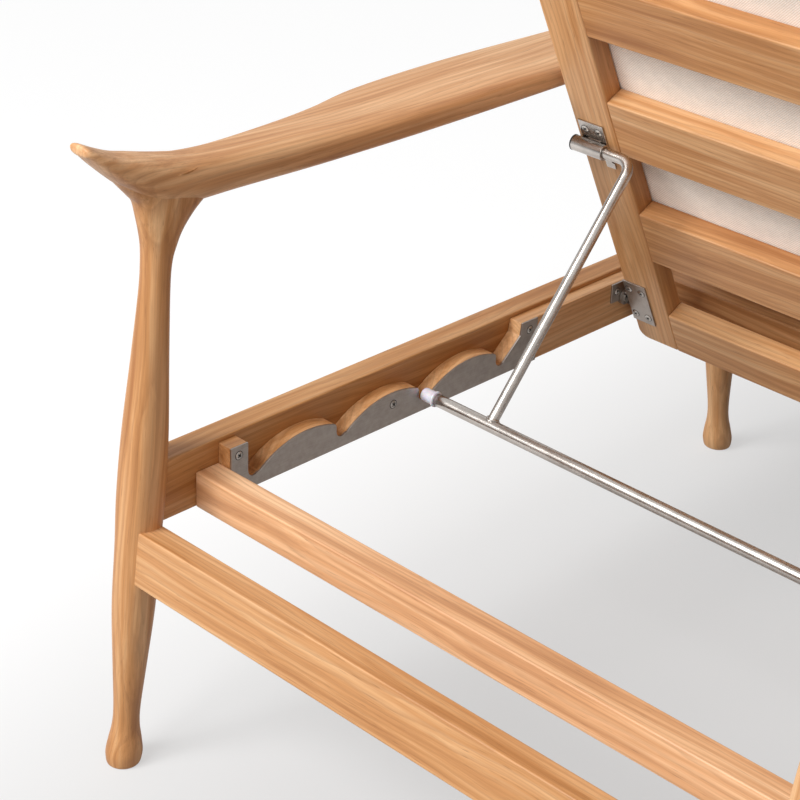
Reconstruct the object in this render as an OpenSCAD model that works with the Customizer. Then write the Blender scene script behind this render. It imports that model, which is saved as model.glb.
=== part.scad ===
// Teak chaise longue with a notched-rack reclining back, arms on the head half, loose cushions.
// X runs across the seat, Y from the foot end (-) to the head end (+), Z up from the floor.
// The origin is the middle of the footprint, on the floor.

/* [Frame] */
// Overall length, foot end to the tips of the arm horns
length = 2000; // [1900:5:2100]
// Height of the top of the side rails
rail_top = 317.5; // [300:0.5:340]
// Height of a side rail
rail_h = 62; // [56:1:70]
// Thickness of a side rail
rail_t = 27; // [24:1:30]
// Thickness of the head, rest, seat and foot rails
cross_t = 28; // [24:1:32]
// Height of the head rail
head_rail_h = 55; // [48:1:60]
// Height of the rest rail under the lowered back
rest_rail_h = 37; // [32:1:38]
// How far the end of a rail sits in a leg
housing = 10; // [6:1:12]

/* [Legs] */
// Distance between the feet of the head and middle legs
leg_spacing = 937; // [900:1:970]
// Distance from the tip of a horn to the middle of a head foot
head_foot_inset = 27; // [24:1:50]
// Distance from the foot end to the middle of a foot-end foot
foot_inset = 18; // [18:1:40]
// Lean of the head legs, in millimetres for each millimetre of height
rake = 0.101; // [0.06:0.001:0.12]
// Lean of the middle and foot-end legs
mid_rake = 0.13; // [0.08:0.005:0.14]
// Width of a leg where the rails meet it
leg_w = 40; // [38:1:44]
// Diameter of the club foot
foot_d = 35.5; // [33:0.5:38]
// Diameter of the ankle above the foot
ankle_d = 26; // [24:0.5:30]
// Diameter of the neck below the arm
neck_d = 28; // [26:0.5:32]

/* [Arms] */
// Height of the middle of the arm over the legs
arm_z = 576; // [560:1:600]
// Width of the arm at its broad middle
arm_w = 100; // [90:1:104]
// Thickness of the arm at its broad middle
arm_t = 31; // [26:1:34]
// Width of the arm where it crosses a leg
arm_neck_w = 51; // [46:1:56]
// Thickness of the arm where it crosses a leg
arm_neck_t = 39; // [36:1:42]
// Rise of the horn at the head end
horn_rise = 56; // [40:1:60]
// Diameter of the dowels that join arms to legs
dowel_d = 12; // [10:1:14]
// Length of those dowels
dowel_l = 44; // [36:1:56]

/* [Back] */
// Angle of the back above level, as the bar lies in the third notch
back_angle = 63.3; // [61:0.1:65]
// Distance from the rest rail's rear face to the back's pivot
pivot_reach = 597; // [590:1:605]
// Length of a stile above the pivot
stile_up = 640; // [560:5:660]
// Length of a stile below the pivot
stile_down = 60; // [50:1:62]
// Width of a stile
stile_w = 52; // [44:1:60]
// Thickness of the stiles, slats and rails of the back
back_t = 24; // [20:1:26]
// Height of the bottom rail of the back
back_bottom_h = 56; // [50:1:60]
// Height of a slat of the back
back_slat_h = 70; // [60:1:76]
// Height of the top rail of the back
back_top_h = 84; // [70:1:90]
// Radius of the rounded ends of the stiles
stile_end_r = 12; // [10:1:20]
// Gap between the back and each side rail
back_gap = 25; // [24:1:30]

/* [Racks] */
// Thickness of the wooden rack board
board_t = 16; // [14:1:17]
// Thickness of the steel rack plate
plate_t = 2; // [1.5:0.5:2.5]
// Height of the rack board
board_h = 49.5; // [47:0.5:51]
// Distance from the bottom of the side rail to the bottom of the board
board_lift = 8; // [6:0.5:9]
// Distance between notches
notch_pitch = 113.7; // [111:0.1:116]
// Number of notches
notch_n = 4; // [4:1:4]
// Distance from the rest rail's rear face to the first notch
notch_first = 56; // [54:0.5:60]
// Height of the bottom of a notch above the bottom of the board
notch_floor = 12; // [11:0.5:13]
// Radius of the bottom of a notch
notch_r = 7; // [6:0.5:8]
// Radius of the long rise between notches
dome_r = 101.5; // [95:0.5:110]
// Height of that rise above the bottom of a notch
dome_h = 22.6; // [20:0.2:24]
// Radius of the nose where the rise drops into the next notch
nose_r = 5; // [4:0.5:6]

/* [Support] */
// Diameter of the crossbar
bar_d = 13; // [12:0.5:14]
// Diameter of the two bent rods
rod_d = 11.2; // [10:0.1:11.4]
// Inside bend radius of the rods, to their middle line
rod_bend = 15; // [12:1:18]
// Distance from the rear face of the back to the middle of a barrel
barrel_drop = 10; // [10:0.5:11]
// Distance along the back from the pivot to the barrels
barrel_reach = 240; // [236:1:244]
// Outer diameter of a barrel
barrel_d = 16; // [15:0.5:17]
// Length of a barrel
barrel_l = 39; // [34:1:42]
// Distance between the middle of a rod at its bend and the side rail beside it
rod_inset = 101.5; // [96:0.5:106]
// Lean of the rods toward the middle, in degrees
rod_lean = 1.3; // [0:0.1:3]
// Length of a nylon cap on the bar
cap_l = 18; // [14:1:24]
// Outer diameter of a nylon cap
cap_d = 14; // [13.5:0.5:15]
// Diameter of the turned-down ends of the bar inside the caps
spigot_d = 9; // [8:0.5:10]

/* [Hinges] */
// Thickness of the hinge leaves and brackets
leaf_t = 2; // [1.5:0.5:2.5]
// Diameter of the pivot pins
pin_d = 6; // [5:0.5:8]
// Height of the leaf on the back
leaf_h = 60; // [52:1:64]
// Width of the leaf on the back
leaf_w = 30; // [26:1:34]
// Diameter of a screw head
screw_d = 8; // [7:0.5:9]

/* [Seat] */
// Number of slats in the seat
seat_slat_n = 7; // [7:1:7]
// Width of a seat slat
seat_slat_w = 70; // [60:1:80]
// Thickness of a seat slat
seat_slat_t = 22; // [18:1:24]
// Height of the top of the seat slats below the top of the side rails
seat_drop = 19; // [14:1:22]
// Thickness of the ledgers under the seat slats
ledger_t = 22; // [20:1:24]
// Height of the ledgers
ledger_h = 20; // [16:1:20]

/* [Cushions] */
// Thickness of the seat cushion
seat_cushion_t = 75; // [60:1:76]
// Width of the seat cushion
seat_cushion_w = 660; // [600:2:700]
// Gap between the seat cushion and the side rail beside it
cushion_side_gap = 20; // [15:1:30]
// Thickness of the back cushion
back_cushion_t = 70; // [55:1:72]
// How far the back cushion stands in from the seat cushion on each side
back_cushion_inset = 20; // [15:1:40]
// Distance from the pivot to the lower end of the back cushion
back_cushion_low = 64; // [62:1:90]

/* [Hidden] */

TEAK = "#c98f58";
TEAK_DARK = "#b57a45";
STEEL = "#a9a49e";
STEEL_BRIGHT = "#c8c6c4";
NYLON = "#e9e7ea";
FABRIC = "#e6dccf";
PLASTIC = "#2a2a2c";

// Working clearance between a bore and the shaft that turns in it
running = 0.08;
// Clearance between two moving flat faces
slip = 0.5;
// Clearance of a soft piece from what it lies on
soft_gap = 0.3;
// Clearance of a dowel in its hole
dowel_gap = 0.1;

// Clear width between the two side rails
inner_w = seat_cushion_w + 2*cushion_side_gap;
half_w = inner_w/2;
rail_low = rail_top - rail_h;
leg_x = half_w + rail_t/2;
head_end = length/2;
foot_end = -length/2;
head_foot_y = head_end - head_foot_inset;
middle_foot_y = head_foot_y - leg_spacing;
foot_foot_y = foot_end + foot_inset;
rail_mid = rail_top - rail_h/2;
head_rail_top = rail_low;
head_rail_mid = head_rail_top - head_rail_h/2;

// Where the middle line of each leg stands at height z
function head_leg_y(z) = head_foot_y - rake*z;
function middle_leg_y(z) = middle_foot_y + mid_rake*z;
function foot_leg_y(z) = foot_foot_y + mid_rake*z;

// Rest rail, racks and pivot are laid out from the head legs
rest_y = head_leg_y(rail_mid) - leg_w/2 - 33;
pivot_y = rest_y - pivot_reach;
back_rest_gap = 0.8;
pivot_z = rail_low + rest_rail_h + back_rest_gap;
seat_rear_y = pivot_y - stile_down - 5;
seat_top = rail_top - seat_drop;
foot_rail_y = foot_leg_y(rail_mid);

board_low = rail_low + board_lift;
board_in = half_w - board_t;
plate_in = board_in - plate_t;
plate_end = notch_first + (notch_n - 1)*notch_pitch + 56;
third_notch_y = rest_y - notch_first - 2*notch_pitch;
bar_y = third_notch_y;
bar_z = board_low + notch_floor + notch_r;

// Back: places along the stile from the pivot
stile_x = half_w - back_gap;
stile_in = stile_x - stile_w;
bottom_top = back_bottom_h - stile_down;
slat_gap = (stile_up - 17 - back_top_h - bottom_top - 3*back_slat_h)/4;
function slat_low(i) = bottom_top + slat_gap + i*(slat_gap + back_slat_h);
top_rail_low = slat_low(3);

// Support: the barrel axis and the strut from it to the bar
barrel_y = pivot_y + barrel_reach*cos(back_angle) + barrel_drop*sin(back_angle);
barrel_z = pivot_z + barrel_reach*sin(back_angle) - barrel_drop*cos(back_angle);
strut_l = norm([bar_y - barrel_y, bar_z - barrel_z]);
strut_angle = atan2(bar_z - barrel_z, bar_y - barrel_y);
barrel_out = half_w - 27;
barrel_in = barrel_out - barrel_l;
rod_x = half_w - rod_inset;
rod_run = (strut_l - rod_bend - rod_bend*sin(rod_lean))/cos(rod_lean);
cap_end = plate_in - slip;

// Hinge: the lug of the back leaf turns beside the frame leaf
frame_leaf_in = board_in - leaf_t;
lug_out = frame_leaf_in - slip;
lug_in = lug_out - leaf_t;
pin_head = 2;
lug_r = 9;

// Arm: heights, places and sizes of its sections
neck_x = leg_x + 2;
arm_x = half_w - 17 + arm_w/2;
head_top_y = head_leg_y(arm_z);
middle_top_y = middle_leg_y(arm_z);
arm_span = head_top_y - middle_top_y;

$fn = 48;

function lerp(a, b, t) = a + (b - a)*t;

// Smooth curve through a list of stations, n steps between each pair
function spline_at(p, i, t) =
    let (a = p[max(i - 1, 0)], b = p[i], c = p[i + 1], d = p[min(i + 2, len(p) - 1)])
    b + t*((c - a)/2 + t*(a - 2.5*b + 2*c - d/2 + t*(1.5*(b - c) + (d - a)/2)));
function spline(p, n) =
    [for (i = [0:len(p) - 2], k = [0:n - 1]) spline_at(p, i, k/n), p[len(p) - 1]];

// Rounded outline: k = 2 is an ellipse, larger k is squarer
function soft_ring(w, h, k, sides) =
    [for (j = [0:sides - 1])
        let (a = 360*(j + 0.5)/sides, c = cos(a), s = sin(a))
        [w/2*sign(c)*pow(abs(c), 2/k), h/2*sign(s)*pow(abs(s), 2/k)]];

// Solid skin over a list of rings that all have the same number of points
module skin(rings) {
    n = len(rings);
    m = len(rings[0]);
    first = [for (k = [0:2]) sum_of(rings[0], k)/m];
    last = [for (k = [0:2]) sum_of(rings[n - 1], k)/m];
    points = concat([for (r = rings, p = r) p], [first, last]);
    sides = [for (i = [0:n - 2], j = [0:m - 1])
        let (a = i*m + j, b = i*m + (j + 1)%m)
        each [[b, a, a + m], [b, a + m, b + m]]];
    caps = [for (j = [0:m - 1])
        each [[j, (j + 1)%m, n*m], [(n - 1)*m + (j + 1)%m, (n - 1)*m + j, n*m + 1]]];
    polyhedron(points, concat(sides, caps));
}

function sum_of(list, k, i = 0) = i == len(list) ? 0 : list[i][k] + sum_of(list, k, i + 1);

// Draws its children for the sitter's left side, or mirrored for the right
module side(left) {
    mirror([left ? 0 : 1, 0, 0]) children();
}

// Box by its low corner and its high corner
module block(low, high) {
    translate(low) cube(high - low);
}

// Cylinder along X from x0 to x1 at [y, z]
module rod_x(x0, x1, at, r) {
    translate([x0, at[0], at[1]]) rotate([0, 90, 0]) cylinder(h = x1 - x0, r = r);
}

// Countersunk screw head with a cross recess, axis up, top face at the origin
module screw_head(d = screw_d) {
    difference() {
        union() {
            translate([0, 0, -1]) cylinder(h = 1, r = d/2);
            translate([0, 0, -12]) cylinder(h = 11, r = d/4);
        }
        for (a = [0, 90])
            rotate([0, 0, a]) translate([-d*0.28, -d*0.07, -0.7]) cube([d*0.56, d*0.14, 1]);
    }
}

// Everything inside turns with the back; local Y runs up the stile, local Z to the front face
module in_back() {
    translate([0, pivot_y, pivot_z]) rotate([back_angle, 0, 0]) children();
}

// Everything inside hangs from the barrels; local Y runs from the barrel to the bar
module in_support() {
    translate([0, barrel_y, barrel_z]) rotate([strut_angle, 0, 0]) children();
}

// Legs

// Stations of a leg: height, width, squareness, and for an arm leg its flare along Y
foot_z = 13;
ankle_z = 52;
shank_z = 170;
neck_z = 482;
flare_z = arm_z - 20;

leg_low = [
    [0, foot_d*0.84, foot_d*0.84, 2, 0],
    [foot_z*0.4, foot_d*0.97, foot_d*0.97, 2, 0],
    [foot_z, foot_d, foot_d, 2, 0],
    [foot_z*2, lerp(foot_d, ankle_d, 0.4), lerp(foot_d, ankle_d, 0.4), 2, 0],
    [ankle_z*0.8, ankle_d*1.02, ankle_d*1.02, 2, 0],
    [ankle_z*1.2, ankle_d, ankle_d, 2, 0],
    [(ankle_z + shank_z)/2, lerp(ankle_d, leg_w, 0.45), lerp(ankle_d, leg_w, 0.45), 2.1, 0],
    [shank_z, leg_w*0.97, leg_w*0.97, 2.3, 0],
    [rail_low - 20, leg_w, leg_w, 2.4, 0],
    [rail_mid, leg_w, leg_w, 3, 0]];
leg_high = [
    [rail_top + 30, leg_w*0.98, leg_w*0.98, 2.6, 0],
    [lerp(rail_top, neck_z, 0.62), leg_w*0.83, leg_w*0.83, 2.2, 0],
    [neck_z, neck_d, neck_d, 2, 0],
    [neck_z + 26, neck_d*1.01, neck_d*1.01, 2, 0],
    [neck_z + 42, neck_d*1.21, neck_d*1.1, 2, 1.4],
    [flare_z - 19, neck_d*1.54, neck_d*1.2, 2, 3],
    [flare_z - 4, neck_d*2.12, neck_d*1.36, 2.1, 6.8],
    [flare_z + 12, neck_d*2.93, neck_d*1.5, 2.3, 13]];

// inward is +1 where the arm runs toward +Y from the leg, -1 toward -Y
function leg_rings(stations, foot_y, lean, inward) =
    [for (s = spline(stations, 2))
        [for (p = soft_ring(s[2], s[1], s[3], 24))
            [leg_x + p[0], foot_y + lean*s[0] + inward*s[4] + p[1], s[0]]]];

module rail_sockets(y, z0, z1, t) {
    block([leg_x - leg_w, y - t/2, z0], [leg_x - leg_w/2 + housing, y + t/2, z1]);
}

module head_leg(left) {
    color(TEAK) side(left) difference() {
        skin(leg_rings(concat(leg_low, leg_high), head_foot_y, -rake, -1));
        arm_body();
        side_rail_block(middle_rail_end, head_rail_end);
        head_rail_block(cross_end);
        arm_dowel(head_top_y - 8, dowel_d/2 + dowel_gap);
    }
}

module middle_leg(left) {
    color(TEAK) side(left) difference() {
        skin(leg_rings(concat(leg_low, leg_high), middle_foot_y, mid_rake, 1));
        arm_body();
        side_rail_block(middle_rail_end, head_rail_end);
        side_rail_block(foot_rail_end, middle_foot_end);
        arm_dowel(middle_top_y + 8, dowel_d/2 + dowel_gap);
    }
}

module foot_leg(left) {
    top = [[rail_top, leg_w, leg_w, 3, 0]];
    color(TEAK) side(left) difference() {
        skin(leg_rings(concat(leg_low, top), foot_foot_y, mid_rake, 0));
        side_rail_block(foot_rail_end, middle_foot_end);
        rail_sockets(foot_rail_y, rail_low, rail_top + 1, cross_t);
        // Inner corner between the two rails
        block([leg_x - leg_w, foot_rail_y, rail_low], [half_w, foot_rail_y + leg_w, rail_top + 1]);
    }
}

// Rails

head_rail_end = head_leg_y(rail_mid) - leg_w/2 + housing;
middle_rail_end = middle_leg_y(rail_mid) + leg_w/2 - housing;
middle_foot_end = middle_leg_y(rail_mid) - leg_w/2 + housing;
foot_rail_end = foot_leg_y(rail_mid) + max(leg_w/2 - housing, cross_t/2);
cross_end = leg_x - leg_w/2 + housing;

module side_rail_block(y0, y1) {
    block([half_w, y0, rail_low], [half_w + rail_t, y1, rail_top]);
}

module side_rail_head(left) {
    color(TEAK) side(left) side_rail_block(middle_rail_end, head_rail_end);
}

module side_rail_foot(left) {
    color(TEAK) side(left) side_rail_block(foot_rail_end, middle_foot_end);
}

// The head rail leans with the head legs
module head_rail_block(reach) {
    translate([0, head_leg_y(head_rail_mid), head_rail_mid]) rotate([atan(rake), 0, 0])
        block([-reach, -cross_t/2, -head_rail_h/2], [reach, cross_t/2, head_rail_h/2]);
}

module head_rail() {
    color(TEAK) head_rail_block(cross_end);
}

module rest_rail() {
    color(TEAK) block([-half_w, rest_y - cross_t, rail_low], [half_w, rest_y, rail_low + rest_rail_h]);
}

module seat_rear_rail() {
    color(TEAK) block([-half_w, seat_rear_y - cross_t, rail_low], [half_w, seat_rear_y, seat_top]);
}

module foot_rail() {
    color(TEAK) block([-cross_end, foot_rail_y - cross_t/2, rail_low],
        [cross_end, foot_rail_y + cross_t/2, rail_top]);
}

// Arms

// Sections of the arm: place along Y, height, middle in X, width, thickness, squareness
arm_sections = [
    [head_end, arm_z + horn_rise, neck_x, 9, 6, 2],
    [head_end - 3, arm_z + horn_rise - 1, neck_x, 24, 14, 2],
    [head_end - 16, arm_z + horn_rise*0.79, neck_x, 35, 18, 2.1],
    [head_end - 36, arm_z + horn_rise*0.54, neck_x, 44, 28, 2.2],
    [head_end - 56, arm_z + horn_rise*0.34, neck_x, 50, 39, 2.3],
    [head_top_y + 12, arm_z + 8.5, neck_x, arm_neck_w, arm_neck_t + 7, 2.3],
    [head_top_y - 20, arm_z + 3, neck_x, arm_neck_w, arm_neck_t + 5, 2.4],
    [head_top_y - arm_span*0.09, arm_z, lerp(neck_x, arm_x, 0.05), arm_neck_w + 2, arm_neck_t - 1, 2.6],
    [head_top_y - arm_span*0.19, arm_z - 2.5, lerp(neck_x, arm_x, 0.22), lerp(arm_neck_w, arm_w, 0.32), arm_t + 4, 2.8],
    [head_top_y - arm_span*0.27, arm_z - 4, lerp(neck_x, arm_x, 0.48), arm_w - 20, arm_t + 1, 3],
    [head_top_y - arm_span*0.36, arm_z - 5, lerp(neck_x, arm_x, 0.9), arm_w - 4, arm_t, 3.2],
    [head_top_y - arm_span*0.5, arm_z - 5, arm_x, arm_w, arm_t, 3.2],
    [head_top_y - arm_span*0.66, arm_z - 5, lerp(neck_x, arm_x, 0.88), arm_w - 8, arm_t, 3.2],
    [head_top_y - arm_span*0.82, arm_z - 3, lerp(neck_x, arm_x, 0.54), lerp(arm_neck_w, arm_w, 0.55), arm_t + 2, 2.9],
    [middle_top_y + 40, arm_z, lerp(neck_x, arm_x, 0.12), arm_neck_w + 6, arm_neck_t - 4, 2.5],
    [middle_top_y, arm_z, neck_x, arm_neck_w + 2, arm_neck_t, 2.4],
    [middle_top_y - 30, arm_z, neck_x, arm_neck_w + 1, arm_neck_t - 5, 2.4],
    [middle_top_y - 52, arm_z + 1, neck_x, arm_neck_w - 6, arm_neck_t - 15, 2.3],
    [middle_top_y - 64, arm_z + 2, neck_x, arm_neck_w - 20, arm_neck_t - 24, 2.1],
    [middle_top_y - 68, arm_z + 2.5, neck_x, 16, 9, 2]];

function arm_rings() =
    [for (s = spline(arm_sections, 2))
        [for (p = soft_ring(s[3], s[4], s[5], 24)) [s[2] + p[0], s[0], s[1] + p[1]]]];

module arm_body() {
    skin(arm_rings());
}

module arm_dowel(y, r) {
    translate([leg_x, y, arm_z - dowel_l/2 - 14]) cylinder(h = dowel_l, r = r, $fn = 24);
}

module arm(left) {
    color(TEAK) side(left) difference() {
        arm_body();
        arm_dowel(head_top_y - 8, dowel_d/2 + dowel_gap);
        arm_dowel(middle_top_y + 8, dowel_d/2 + dowel_gap);
    }
}

module arm_dowels() {
    color(TEAK_DARK) for (left = [true, false]) side(left) {
        arm_dowel(head_top_y - 8, dowel_d/2);
        arm_dowel(middle_top_y + 8, dowel_d/2);
    }
}

// Seat

seat_from = seat_rear_y - cross_t;
seat_to = foot_rail_y + cross_t/2;
seat_slat_gap = (seat_from - seat_to - seat_slat_n*seat_slat_w)/(seat_slat_n + 1);
slat_end = leg_x - leg_w/2 - 2;
ledger_top = seat_top - seat_slat_t;
function seat_slat_y(i) = seat_from - (i + 1)*seat_slat_gap - (i + 0.5)*seat_slat_w;

module seat_slat(i) {
    y = seat_slat_y(i);
    color(TEAK) difference() {
        block([-slat_end, y - seat_slat_w/2, ledger_top], [slat_end, y + seat_slat_w/2, seat_top]);
        for (s = [-1, 1], e = [-1, 1])
            translate([s*(slat_end - 7), y + e*seat_slat_w/4, 0]) slat_screw_hole();
    }
}

module slat_screw_hole() {
    translate([0, 0, seat_top - 1]) cylinder(h = 2, r = screw_d/2);
    translate([0, 0, seat_top - 12]) cylinder(h = 12, r = screw_d/4);
    translate([0, 0, ledger_top - 1]) cylinder(h = seat_slat_t, r = screw_d/4);
}

module slat_screws() {
    color(STEEL) for (i = [0:seat_slat_n - 1], s = [-1, 1], e = [-1, 1])
        translate([s*(slat_end - 7), seat_slat_y(i) + e*seat_slat_w/4, seat_top]) screw_head();
}

module seat_ledger(left) {
    color(TEAK_DARK) side(left) difference() {
        block([half_w - ledger_t, seat_to, ledger_top - ledger_h], [half_w, seat_from, ledger_top]);
        block([leg_x - leg_w/2 - 1, middle_leg_y(rail_mid) - leg_w*0.6, rail_low - 1],
            [half_w + 1, middle_leg_y(rail_mid) + leg_w*0.6, rail_top]);
        block([leg_x - leg_w/2 - 1, seat_to - 1, rail_low - 1],
            [half_w + 1, foot_leg_y(rail_mid) + leg_w*0.6, rail_top]);
    }
}

// Racks

// One notch profile drawn with Y toward the hinge and Z up from the bottom of the notch
module rack_profile(to_end) {
    peak_s = 69;
    nose_s = notch_pitch - notch_r - nose_r;
    dome_z = dome_h - dome_r;
    nose_z = dome_z + sqrt(pow(dome_r - nose_r, 2) - pow(nose_s - peak_s, 2));
    top = board_h - notch_floor;
    difference() {
        union() {
            // Strip below the notches and the tall blocks at both ends
            translate([-notch_first + cross_t, -notch_floor])
                square([to_end - cross_t, notch_floor + 2]);
            translate([-notch_first + cross_t, -notch_floor])
                square([notch_first - cross_t - notch_r, board_h]);
            front_block(to_end, top);
            // Corner under each wall, rounded out by the notch
            for (i = [0:notch_n - 1]) translate([i*notch_pitch - notch_r, 0]) square(notch_r);
            for (i = [0:notch_n - 2]) translate([i*notch_pitch, 0]) {
                intersection() {
                    translate([peak_s, dome_z]) circle(r = dome_r, $fn = 180);
                    translate([0, -1]) square([nose_s, dome_h + 2]);
                }
                translate([nose_s, nose_z]) circle(r = nose_r);
                translate([peak_s, -1]) square([nose_s + nose_r - peak_s, nose_z + 1]);
            }
        }
        for (i = [0:notch_n - 1]) translate([i*notch_pitch, notch_r]) circle(r = notch_r);
    }
}

// Tall block past the last notch, with its sloping and then upright edge
module front_block(to_end, top) {
    start = (notch_n - 1)*notch_pitch;
    polygon([[start, 0], [start + notch_r, 0], [start + notch_r*3.9, 0], [to_end - notch_first, 0],
        [to_end - notch_first, top], [start + 32, top], [start + 30, 24], [start + notch_r*0.7, 2]]);
}

// Profile set up against the side rail, x0 to x1 thick
module rack_slab(x0, x1, to_end) {
    translate([x0, rest_y - notch_first, board_low + notch_floor])
        mirror([0, 1, 0]) rotate([90, 0, 90]) linear_extrude(x1 - x0) rack_profile(to_end);
}

// Screws that hold plate and board: distance from the rest rail's rear face, height over the rail's bottom
rack_screw_at = [[37.5, 48], [240, 30], [441, 47]];

module at_rack_screws() {
    for (p = rack_screw_at)
        translate([plate_in, rest_y - p[0], rail_low + p[1]]) rotate([0, -90, 0]) children();
}

module screw_hole() {
    translate([0, 0, -1]) cylinder(h = 2, r = screw_d/2);
    translate([0, 0, -12]) cylinder(h = 12, r = screw_d/4);
}

module rack_board(left) {
    color(TEAK) side(left) difference() {
        rack_slab(board_in, half_w, rest_y - seat_rear_y);
        at_rack_screws() screw_hole();
        at_frame_leaf_screws() screw_hole();
        rod_x(board_in - 1, board_in + 9, [pivot_y, pivot_z], pin_d/2);
    }
}

module rack_plate(left) {
    color(STEEL) side(left) difference() {
        rack_slab(plate_in, board_in, plate_end);
        at_rack_screws() screw_hole();
    }
}

module rack_screws() {
    color(STEEL_BRIGHT) for (left = [true, false]) side(left) at_rack_screws() screw_head();
}

// Hinges

leaf_top = board_low + board_h - 0.5;
frame_leaf_l = 36;
frame_leaf_h = 22;

module at_frame_leaf_screws() {
    for (p = [[13.5, 9.5], [-8, 13]])
        translate([frame_leaf_in, pivot_y + p[0], pivot_z + p[1]]) rotate([0, -90, 0]) children();
}

module hinge_frame_leaf(left) {
    color(STEEL) side(left) difference() {
        union() {
            block([frame_leaf_in, pivot_y - frame_leaf_l/2 + 4, leaf_top - frame_leaf_h],
                [board_in, pivot_y + frame_leaf_l/2 + 4, leaf_top]);
            rod_x(frame_leaf_in, board_in, [pivot_y, pivot_z], lug_r);
        }
        at_frame_leaf_screws() screw_hole();
        rod_x(frame_leaf_in - 1, board_in + 1, [pivot_y, pivot_z], pin_d/2);
    }
}

module hinge_frame_screws() {
    color(STEEL_BRIGHT) for (left = [true, false]) side(left) at_frame_leaf_screws() screw_head(screw_d - 1);
}

// The pin is driven into the board and carries the lug of the back leaf under its head
module hinge_pin(left) {
    at = [pivot_y, pivot_z];
    color(STEEL_BRIGHT) side(left) {
        rod_x(lug_in - 0.2, board_in + 9, at, pin_d/2);
        rod_x(lug_in - 0.2 - pin_head, lug_in - 0.2, at, pin_d*0.85);
    }
}

module hinge_back_leaf(left) {
    color(STEEL) side(left) in_back() difference() {
        union() {
            block([stile_x - leaf_w, -leaf_h/2, -leaf_t], [stile_x, leaf_h/2, 0]);
            block([stile_x - 1, -lug_r, -leaf_t], [lug_out, lug_r, 0]);
            rod_x(lug_in, lug_out, [0, 0], lug_r);
        }
        rod_x(lug_in - 1, lug_out + 1, [0, 0], pin_d/2 + running);
        block([stile_x - 1, -lug_r - 1, -leaf_t - 1], [lug_in - 4, lug_r + 1, -leaf_t]);
        block([stile_x + 0.01, -pin_d, -leaf_t - 1], [lug_in - 0.0, pin_d, 1]);
        at_back_leaf_screws() screw_hole();
    }
}

module at_back_leaf_screws() {
    for (x = [leaf_w*0.2, leaf_w*0.77], y = [11 - leaf_h/2, leaf_h/2 - 11])
        translate([stile_x - x, y, -leaf_t]) rotate([180, 0, 0]) children();
}

module hinge_back_screws() {
    color(STEEL_BRIGHT) for (left = [true, false]) side(left) in_back() at_back_leaf_screws() screw_head();
}

// Back

module back_stile(left) {
    color(TEAK) side(left) in_back() difference() {
        intersection() {
            block([stile_in, -stile_down, 0], [stile_x, stile_up, back_t]);
            translate([0, 0, -1]) linear_extrude(back_t + 2) union() {
                translate([stile_in - 1, -stile_down])
                    square([stile_w + 1 - stile_end_r, stile_down + stile_up]);
                translate([stile_in - 1, -stile_down + stile_end_r])
                    square([stile_w + 1, stile_down + stile_up - 2*stile_end_r]);
                for (y = [stile_end_r - stile_down, stile_up - stile_end_r])
                    translate([stile_x - stile_end_r, y]) circle(r = stile_end_r);
            }
        }
        at_back_leaf_screws() screw_hole();
        at_barrel_screws() screw_hole();
    }
}

// A board of the back from one stile to the other, y0 to y1 along the back
module back_board(y0, y1) {
    color(TEAK) in_back() block([-stile_in, y0, 0], [stile_in, y1, back_t]);
}

module back_bottom_rail() {
    back_board(-stile_down, bottom_top);
}

module back_slat(i) {
    back_board(slat_low(i), slat_low(i) + back_slat_h);
}

module back_top_rail() {
    back_board(top_rail_low, top_rail_low + back_top_h);
}

// Support

bracket_out = half_w - 31;
bracket_in = half_w - 63;
bracket_top = barrel_reach + 26;
bracket_low = barrel_reach - 22;

module at_barrel_screws() {
    for (x = [half_w - 38.5, half_w - 55.5])
        translate([x, barrel_reach + 16, -leaf_t]) rotate([180, 0, 0]) children();
}

module barrel(left) {
    color(STEEL_BRIGHT) side(left) in_back() difference() {
        union() {
            rod_x(barrel_in, barrel_out, [barrel_reach, -barrel_drop], barrel_d/2);
            block([bracket_in, bracket_low, -leaf_t], [bracket_out, bracket_top, 0]);
            block([bracket_in - 3, bracket_low - 8, -leaf_t], [bracket_in + 9, bracket_low, 0]);
            block([bracket_in + 8, barrel_reach - 4, -barrel_drop], [bracket_out - 8, barrel_reach + 4, -leaf_t]);
        }
        rod_x(barrel_in - 1, barrel_out + 1, [barrel_reach, -barrel_drop], rod_d/2 + running);
        at_barrel_screws() screw_hole();
    }
}

module barrel_end_caps() {
    color(PLASTIC) for (left = [true, false]) side(left) in_back()
        rod_x(barrel_out, barrel_out + 2.6, [barrel_reach, -barrel_drop], barrel_d/2 - 0.4);
}

module barrel_screws() {
    color(STEEL) for (left = [true, false]) side(left) in_back() at_barrel_screws() screw_head();
}

// The bend is a little thicker than the rod and laps over both straight runs, in degrees
bend_swell = 0.02;
bend_lap = 1;

// The rod turns in the barrel, bends and runs down to the crossbar
module support_rod(left) {
    color(STEEL_BRIGHT) side(left) in_support() difference() {
        union() {
            rod_x(rod_x + rod_bend, barrel_out - 1, [0, 0], rod_d/2);
            translate([rod_x + rod_bend, rod_bend, 0]) {
                rotate([0, 0, 180 + rod_lean - bend_lap]) rotate_extrude(angle = 90 - rod_lean + 2*bend_lap)
                    translate([rod_bend, 0]) circle(r = rod_d/2 + bend_swell);
                rotate([0, 0, rod_lean]) translate([-rod_bend, 0, 0]) rotate([-90, 0, 0])
                    cylinder(h = rod_run, r = rod_d/2);
            }
        }
        rod_x(rod_x - 3*rod_d, rod_x + rod_d, [strut_l, 0], bar_d/2);
    }
}

module crossbar() {
    color(STEEL_BRIGHT) {
        rod_x(cap_l - cap_end, cap_end - cap_l, [bar_y, bar_z], bar_d/2);
        rod_x(-cap_end + 3, cap_end - 3, [bar_y, bar_z], spigot_d/2);
    }
}

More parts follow.
